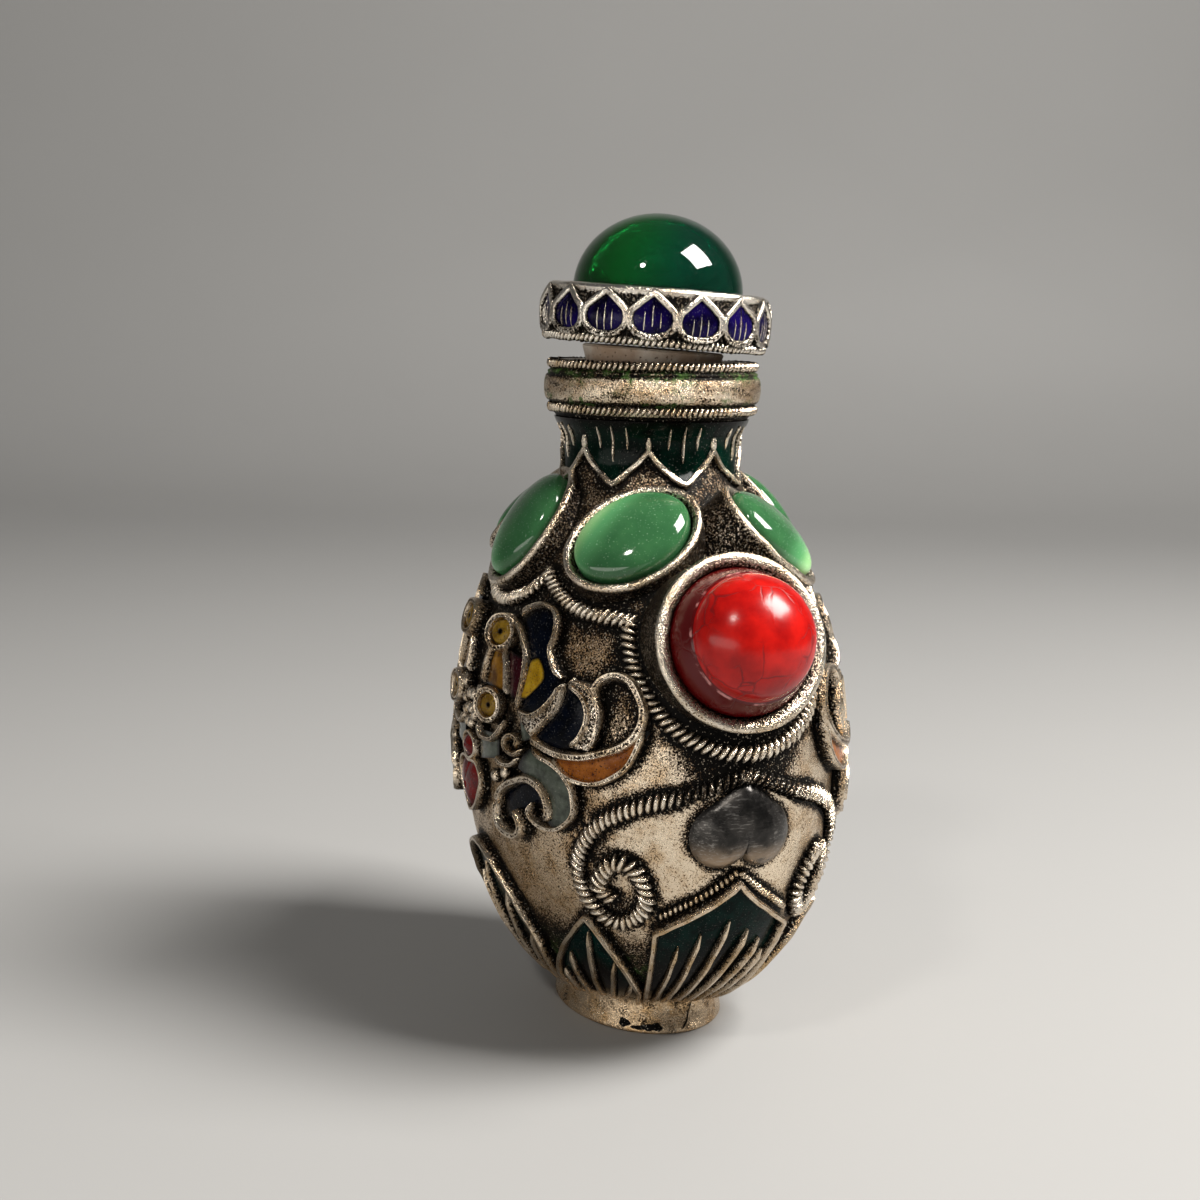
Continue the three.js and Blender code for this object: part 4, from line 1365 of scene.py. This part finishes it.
def granules():
    bead = ropeBead(0.72, 0.66, 0.7, 20)
    spots = [faceSpot(x, z) for x, z in butterfly["granules"]]
    frames = []
    for copy in mirrorSpots(spots):
        for angle, z in copy:
            axes = eyeAxes(angle, z)
            frames.append((axes.translation.copy(), axes.col[1].xyz, axes.col[2].xyz, axes.col[0].xyz))
    reliefMarks.extend((frameAt[0], 0.6) for frameAt in frames)
    piece = strungBeads("granules", bead, frames, -0.75)
    bpy.data.objects.remove(bead)
    return piece


wires, glazes = butterflyPieces()
wirework = handmade(joinPieces("butterflyWires", wires + [granules()]), 0.13, 0.5)
finishOnBottle(wirework, antiqueSilver, 50)
for key, patches in glazes.items():
    material = bpy.data.materials[key]
    finishOnBottle(joinPieces("butterfly." + key, patches), material, 60)
print("butterflies laid")


# Wear on the foot: a slanting crack and a few chips gone black

footWear = {
    "crack": [(18, 3.7), (16, 3.2), (14, 2.6), (11, 1.9), (9, 1.2), (4.5, 0.5)],
    "crackSize": {"half": 0.075, "height": 0.02},
    "chips": [(-36, 0.9, 0.75, 0.4), (-27, 0.62, 0.9, 0.2), (-21, 0.68, 1.0, 0.3),
              (-15, 0.75, 1.0, 0.36), (-58, 2.2, 0.3, 0.22),
              (150, 0.6, 0.7, 0.3), (96, 1.1, 0.4, 0.25)],
}


def footMarks():
    spots = smoothLine(footWear["crack"], 24)
    section = [(across, up, 1.0) for across, up, _ in wallSection(**footWear["crackSize"], sink=0.1)]
    marks = [sweptWall("crack", skinFrames(spots), section, mark=False)]
    for angle, z, wide, high in footWear["chips"]:
        degrees = math.degrees(1 / formAt(z)[0])
        outline = []
        for i in range(16):
            turn = math.tau * i / 16
            ragged = 1 + 0.15 * math.sin(3 * turn + angle) + 0.1 * math.sin(5 * turn + 2 * angle)
            across = wide * ragged * math.cos(turn) * degrees
            outline.append((angle + across, z + high * ragged * math.sin(turn)))
        marks.append(fanPatch("chip", outline, (angle, z), 3, lambda spot, v: (0.03 * (1 - v), 1.0),
                              0.1))
    return joinPieces("footMarks", marks)


finishOnBottle(footMarks(), antiqueSilver, 60)


# Patina of the bottle: dark beside raised lines, worn bright on open curves, the foot and the collar;
# the foot's light warm tone is partly painted light

shellPatina = {
    # how dark each place has gone, 0 to 1
    "open": 0.14, "broad": 0.2, "bare": 0.42, "moat": 0.97, "upper": 0.46, "shoulder": 0.14,
    "aboveHeart": 0.78, "betweenPetals": 0.62, "rubbed": 0.2, "foot": 0.06, "footCloud": 0.75,
    "collar": 0.27, "collarStreak": 0.7, "groove": 0.9, "neck": 0.95, "inside": 0.8,
    "reach": (0.8, 1.5),  # how far the dark spreads from a raised line, low and high on the body
    "footTop": 3.3,
    "neckTop": 60.2,
    "collarFoot": 61.2,
    "grooves": (62.25, 65.05, 65.45),
    # middle across, half width, middle height and half height of patches on each side
    "browPatch": (0, 6.0, 31.3, 2.8),
    "barePatch": (0, 5.0, 50.0, 3.5),
    "rubbedPatch": (12, 2.2, 39.5, 3.2),  # between wing and rope
    "moatRing": (40.6, 9.2, 10.6),  # height, inner and outer reach of the ground round a red stone
}


def patchReach(point, key):
    # 0 in the middle of a named patch, 1 at its edge
    across, width, height, tall = shellPatina[key]
    return math.hypot((abs(point.y) - across) / width, (point.z - height) / tall)


def moatGrime(point):
    height, inner, outer = shellPatina["moatRing"]
    if abs(point.x) < 12:
        return 0
    ring = 1 - spreadOf(math.hypot(point.y, point.z - height), inner, outer)
    return shellPatina["moat"] * ring * (1 - spreadOf(point.z, 43, 47))


def openGrime(point):
    # tarnish of the ground by height, before the hollows beside the relief
    worn = shellPatina
    if point.z > worn["collarFoot"]:
        groove = min(abs(point.z - z) for z in worn["grooves"])
        streak = noise.noise(Vector((point.x * 0.35, point.y * 0.35, point.z * 2.2)))
        rubbed = worn["collar"] + worn["collarStreak"] * max(streak, 0)
        return mix(worn["groove"], rubbed, spreadOf(groove, 0.05, 0.5))
    if point.z > worn["neckTop"]:
        return worn["neck"]
    # the foot is kept light, partly as painted light, with darker patches by noise
    if point.z < worn["footTop"]:
        return worn["foot"] + worn["footCloud"] * max(noise.noise(point * 0.8), 0)
    dark = worn["open"]
    dark += worn["upper"] * spreadOf(point.z, 30, 36.5) + worn["shoulder"] * spreadOf(point.z, 47, 52)
    dark += worn["aboveHeart"] * (1 - spreadOf(patchReach(point, "browPatch"), 0.7, 1.25))
    dark += worn["broad"] * spreadOf(abs(point.y), 8, 14)
    dark += worn["betweenPetals"] * (1 - spreadOf(point.z, 10.5, 15.5))
    dark -= worn["bare"] * (1 - spreadOf(patchReach(point, "barePatch"), 0.5, 1.1))
    dark -= worn["rubbed"] * (1 - spreadOf(patchReach(point, "rubbedPatch"), 0.4, 1.1))
    return max(dark, moatGrime(point))


def openWarmthAndPaintedReflection(point):
    # how far the silver has yellowed; the foot's warm tint, and part of the warmer tone low on the
    # body, is a painted reflection of a warm floor
    if point.z < 3.6:
        return 0.95
    if point.z > shellPatina["collarFoot"]:
        return 0.3 + 0.6 * noise.noise(Vector((point.x * 0.25, point.y * 0.25, point.z * 1.5 + 7)))
    low = 0.25 + 0.35 * (1 - spreadOf(point.z, 12, 24)) + 0.45 * spreadOf(abs(point.y), 8, 14)
    return min(low + 0.5 * spreadOf(point.z, 31, 38), 1)


def openVerdigris(point):
    # green residue left between the foot's petals and in the mouldings of the collar
    if point.z < shellPatina["collarFoot"]:
        return 0.4 * spreadOf(point.z, 3.4, 4.2) * (1 - spreadOf(point.z, 8, 12))
    patch = noise.noise(Vector((point.x * 0.3 + 4, point.y * 0.3, point.z * 0.8)))
    groove = min(abs(point.z - z) for z in (62.6, 65.0))
    return spreadOf(patch, -0.2, 0.35) * (0.35 + 0.65 * (1 - spreadOf(groove, 0.2, 0.9)))


def darkenShell():
    tree = KDTree(len(reliefMarks))
    for i, (point, half) in enumerate(reliefMarks):
        tree.insert(point * mm, i)
    tree.balance()
    grime, warmthAndPaintedLight, verdigris = [], [], []
    for vertex in shell.data.vertices:
        point = vertex.co / mm
        warmthAndPaintedLight.append(openWarmthAndPaintedReflection(point))
        verdigris.append(openVerdigris(point))
        a, b = formAt(min(point.z, bottleForm["evenRings"][1]))
        if math.hypot(point.x / a, point.y / b) < 0.93 and point.z > 1.0 and point.z < 60:
            grime.append(shellPatina["inside"])
            continue
        ground = openGrime(point)
        _, index, distance = tree.find(vertex.co)
        gap = distance / mm - reliefMarks[index][1]
        deep = spreadOf(point.z, 29, 35) * (1 - 0.8 * spreadOf(point.z, 45, 49))
        reach = mix(*shellPatina["reach"], deep) * (1 + 0.8 * noise.noise(point * 0.4))
        near = (1 - spreadOf(gap, 0.0, reach)) ** 1.3
        grime.append(mix(ground, 1.0, near))
    setGrime(shell, grime)
    setTone(shell, "warmthAndPaintedLight", warmthAndPaintedLight)
    setTone(shell, "verdigris", verdigris)


darkenShell()
finishOnBottle(shell, wornGround, 60)
print("patina laid", len(reliefMarks), "marks")


# Stopper: ring of pointed cells under the stone dome, on a tapered plug, sitting a little askew

stopper = {
    "base": 67.9, "tilt": 3.3, "leanTowards": 69,
    "radius": 11.2, "height": 5.3,
    "wallRadius": 10.6, "glazeRadius": 10.8, "bulge": 0.46,
    "cells": 15, "cellTurn": -4.4,
    "cell": [(0, 5.05), (1.15, 4.1), (2.05, 3.3), (2.22, 2.6), (2.08, 1.85), (1.5, 1.2), (0.7, 0.92),
             (0, 0.88)],
    "cellWire": {"half": 0.3, "height": 0.55},
    "cellLine": {"half": 0.07, "height": 0.32},
    "cellLines": [(-0.75, 1.3, 3.2), (0.0, 1.2, 3.8), (0.75, 1.3, 3.2)],
    "edgeRope": (10.8, 0.4),
    "ropeBead": {"long": 0.58, "thick": 0.27, "high": 0.44, "slant": -25},
    "rimRise": 0.3,
    "dome": {"radius": 8.5, "rise": 7.7, "bed": 1.2},
    "plug": {"topRadius": 7.1, "endRadius": 4.7, "length": 8.0, "cover": 0.3},
}


def stopperAxes():
    lean = math.radians(stopper["leanTowards"])
    axis = Vector((-math.sin(lean), math.cos(lean), 0))
    tilt = Matrix.Rotation(math.radians(stopper["tilt"]), 4, axis)
    return Matrix.Translation((0, 0, stopper["base"])) @ tilt


def capPoint(across, z, radius):
    # the wall of the ring bellies out a little half way up
    turn = across / stopper["radius"] + math.radians(stopper["cellTurn"])
    radius += stopper["bulge"] * (1 - ((z - 2.6) / 2.6) ** 2)
    return Vector((radius * math.sin(turn), -radius * math.cos(turn), z))


def capFrames(spots, closed=False):
    points = [capPoint(across, z, stopper["wallRadius"]) for across, z in spots]
    normals = [Vector((point.x, point.y, 0)).normalized() for point in points]
    return lineFrames(points, normals, closed)


def capRing():
    radius, height, wall = stopper["radius"], stopper["height"], stopper["wallRadius"]
    bed = stopper["dome"]["radius"] + 0.3
    belly = stopper["bulge"]
    profile = [(7.4, 0.0), (radius - 0.9, 0.0), (radius - 0.6, 0.06), (wall, 0.3),
               (wall + belly * 0.4, 0.6), (wall + belly * 0.85, 1.6), (wall + belly, 2.6),
               (wall + belly * 0.85, 3.6), (wall + belly * 0.5, 4.7), (radius - 0.32, 4.95)]
    top = height + stopper["rimRise"]
    profile += [(radius - 0.24, top - 0.38), (radius - 0.36, top - 0.16), (radius - 0.7, top - 0.02),
                (radius - 1.3, top), (bed + 0.3, top), (bed, top - 0.1), (bed, 4.3), (bed - 0.4, 4.1)]
    ring = turnedForm("capRing", [None] + [(r, r, z) for r, z in profile] + [None], 90)
    grime = []
    for vertex in ring.data.vertices:
        z = vertex.co.z / mm
        r = math.hypot(vertex.co.x, vertex.co.y) / mm
        dark = 0.1
        if z < 4.8 and r > wall - 0.3:
            dark = 0.8
        elif z < 4.5:
            dark = 0.6
        elif r < bed + 0.1:
            dark = 0.7
        grime.append(dark)
    setGrime(ring, grime)
    return ring


def capCells():
    wires, glazes = [], []
    outline = stopper["cell"] + [(-across, z) for across, z in reversed(stopper["cell"][1:-1])]
    for k in range(stopper["cells"]):
        turn = Matrix.Rotation(math.tau * k / stopper["cells"], 4, "Z")
        fine = []
        for i, spot in enumerate(outline):
            after = outline[(i + 1) % len(outline)]
            fine += [(mix(spot[0], after[0], j / 4), mix(spot[1], after[1], j / 4)) for j in range(4)]
        section = wallSection(**stopper["cellWire"], sink=0.3)
        wire = sweptWall("cell", capFrames(fine, True), section, True, mark=False)
        tarnish = [value.value for value in wire.data.attributes["grime"].data]
        heights = [vertex.co.z / mm for vertex in wire.data.vertices]
        soot = [0.4 * (1 - spreadOf(z, 1.2, 2.4)) for z in heights]
        setGrime(wire, [min(dark + extra, 1) for dark, extra in zip(tarnish, soot)])
        lines = []
        section = wallSection(**stopper["cellLine"], sink=0.3)
        for across, low, high in stopper["cellLines"]:
            spots = [(across, mix(low, high, i / 6)) for i in range(7)]
            lines.append(sweptWall("line", capFrames(spots), section, mark=False))

        def place(u, v):
            edge = fine[round(u * len(fine)) % len(fine)]
            spot = (edge[0] * v, mix(2.6, edge[1], v))
            swell = 0.06 * (1 - v * v)
            return capPoint(spot[0], spot[1], stopper["glazeRadius"] + swell), v ** 4

        patch = enamelPatch("glaze", len(fine), 4, place, Vector((0, -1, 0)), 0.35)
        mergeDoubles(patch)
        for piece in [wire, patch] + lines:
            piece.data.transform(turn)
        wires += [wire] + lines
        glazes.append(patch)
    return joinPieces("capWires", wires), joinPieces("capGlaze", glazes)


def stopperDome():
    size = stopper["dome"]
    foot = stopper["height"] - size["bed"] + 0.3
    radius = size["radius"]
    rings = [None, (radius * 0.6, foot), (radius - 0.25, foot), (radius, foot + 0.2)]
    for i in range(20):
        angle = i / 20 * math.pi / 2
        rings.append((radius * math.cos(angle), stopper["height"] + size["rise"] * math.sin(angle)))
    dome = turnedForm("stopperDome", [ring and (ring[0], ring[0], ring[1]) for ring in rings] + [None],
                      72)
    top = max(dome.data.vertices, key=lambda vertex: vertex.co.z)
    top.co.z = (stopper["height"] + size["rise"]) * mm
    lean = Vector((-0.36, -0.93, 0.15)) / (radius * mm)  # towards the side painted brighter, a painted glow where light would shine through
    middle = Vector((0, 0, (stopper["height"] + 1.5) * mm))
    warmthAndPaintedLight = [spreadOf((vertex.co - middle).dot(lean), -0.35, 0.6) for vertex in dome.data.vertices]
    setTone(dome, "warmthAndPaintedLight", warmthAndPaintedLight)
    return dome


def stopperPlug():
    size = stopper["plug"]
    top = -size["cover"]
    end = top - size["length"]
    wide, narrow = size["topRadius"], size["endRadius"]
    rings = [None, (narrow * 0.6, end), (narrow - 0.5, end), (narrow, end + 0.5)]
    for i in range(1, 9):
        rings.append((mix(narrow, wide, i / 8), mix(end + 0.5, top - 0.2, i / 8)))
    rings += [(wide - 0.2, top), (wide * 0.5, top)]
    return turnedForm("stopperPlug", [ring and (ring[0], ring[0], ring[1]) for ring in rings] + [None],
                      48)


edgeBead = ropeBead(**stopper["ropeBead"])
capRope = strungBeads("capRope", edgeBead, ringFrames(*stopper["edgeRope"], ropeWork["edgePitch"]), 0)
bpy.data.objects.remove(edgeBead)
capWires, capGlaze = capCells()
seat = stopperAxes()
for piece, node, slotName, material, angle in (
    (handmade(capRing(), 0.09), "stopper_cap", "stopper_silver", stopperSilver, 40),
    (handmade(capRope, 0.06, 0.2), "stopper_cap", "stopper_silver", stopperSilver, 80),
    (handmade(capWires, 0.09), "stopper_cap", "stopper_silver", stopperSilver, 50),
    (capGlaze, "stopper_cap", "stopper_silver", cellViolet, 60),
    (stopperDome(), "stopper_dome", "dome_stone", domeStone, 60),
    (stopperPlug(), "stopper_plug", "plug_cork", plugCork, 40),
):
    placeIn(piece, seat)
    finishPiece(piece, node, material, angle)
print("stopper seated")


# Stage, lights and camera

stage = {
    "floorSize": 2.4,
    "floorColor": (0.36, 0.358, 0.352, 1),
    "world": (0.42, 0.43, 0.45, 1),
    "worldStrength": 0.2,
    # metres behind the bottle; the sheet curves up there
    "bend": {"from": 0.45, "over": 0.5, "draw": 0.85},
    "aimHeight": 0.06,
    # aim: right, up and towards the viewer from the bottle; distance and size in metres; power in watts
    "window": {"aim": (0.656, 0.688, 0.28), "distance": 0.5, "size": (0.24, 0.24), "power": 6.6,
               "color": (1, 0.97, 0.93)},
    "lamp": {"aim": (-0.32, 0.545, 0.77), "distance": 0.6, "size": (0.07, 0.07), "power": 0.85,
             "color": (1, 0.95, 0.88)},
    "card": {"aim": (-0.66, -0.085, 0.75), "distance": 0.55, "size": (0.66, 0.15), "power": 0.68,
             "color": (1, 0.96, 0.9)},
}
view = {"azimuth": 69, "distance": 190, "height": 70.3, "pitch": 8.47, "yaw": 1.44, "roll": 1.26,
        "focal": 1880, "imageWidth": 1200, "sensor": 36}


def turnedPair(first, second, angle):
    # two directions turned together in their own plane
    cosine, sine = math.cos(angle), math.sin(angle)
    return first * cosine + second * sine, second * cosine - first * sine


def viewAxes():
    azimuth, pitch = math.radians(view["azimuth"]), math.radians(view["pitch"])
    yaw, roll = math.radians(view["yaw"]), math.radians(view["roll"])
    ahead = Vector((-math.sin(azimuth), math.cos(azimuth), 0))
    right = Vector((math.cos(azimuth), math.sin(azimuth), 0))
    up = Vector((0, 0, 1))
    spot = up * view["height"] - ahead * view["distance"]
    ahead, right = turnedPair(ahead, right, -yaw)
    ahead, up = turnedPair(ahead, up, -pitch)
    right, up = turnedPair(right, up, roll)
    return spot * mm, right, up, ahead


def addCamera():
    spot, right, up, ahead = viewAxes()
    data = bpy.data.cameras.new("camera")
    data.sensor_width = view["sensor"]
    data.lens = view["focal"] / view["imageWidth"] * view["sensor"]
    data.clip_start = 0.01
    camera = bpy.data.objects.new("camera", data)
    bpy.context.scene.collection.objects.link(camera)
    camera.matrix_world = Matrix.Translation(spot) @ Matrix((right, up, -ahead)).transposed().to_4x4()
    bpy.context.scene.camera = camera


def addLight(name, aim, distance, size, power, color):
    _, right, up, ahead = viewAxes()
    direction = (right * aim[0] + up * aim[1] - ahead * aim[2]).normalized()
    data = bpy.data.lights.new(name, "AREA")
    data.shape = "RECTANGLE" if name == "window" else "ELLIPSE"
    data.size, data.size_y = size
    data.energy = power
    data.color = color
    light = bpy.data.objects.new(name, data)
    bpy.context.scene.collection.objects.link(light)
    light.location = Vector((0, 0, stage["aimHeight"])) + direction * distance
    light.rotation_euler = (-direction).to_track_quat("-Z", "Y").to_euler()


def addFloor():
    clearSelection()
    bpy.ops.mesh.primitive_grid_add(x_subdivisions=40, y_subdivisions=40, size=stage["floorSize"])
    floor = bpy.context.object
    floor.name = "floor"
    material, tree, shader = newMaterial("paleFloor")
    cloud = noiseOf(tree, objectPlace(tree), 6.0, 3.0)
    tone = stage["floorColor"]
    soft = blendColor(tree, cloud, tone, tuple(c * 0.93 for c in tone[:3]) + (1,))
    fillInputs(tree, shader, {"Base Color": soft, "Roughness": 0.6})
    floor.data.materials.append(material)
    _, _, _, ahead = viewAxes()
    level = Vector((ahead.x, ahead.y, 0)).normalized()
    bend = stage["bend"]
    for vertex in floor.data.vertices:
        back = vertex.co.dot(level) - bend["from"]
        if back > 0:
            rise = back * spreadOf(back, 0, bend["over"])
            vertex.co -= level * rise * bend["draw"]
            vertex.co.z = rise
    chooseOnly(floor)
    bpy.ops.object.shade_smooth()


addFloor()
for key in ("window", "lamp", "card"):
    addLight(key, **stage[key])
world = bpy.data.worlds.new("studio")
world.use_nodes = True
world.node_tree.nodes["Background"].inputs["Color"].default_value = stage["world"]
world.node_tree.nodes["Background"].inputs["Strength"].default_value = stage["worldStrength"]
bpy.context.scene.world = world
bpy.context.scene.view_settings.view_transform = "Standard"
addCamera()
print("stage lit")
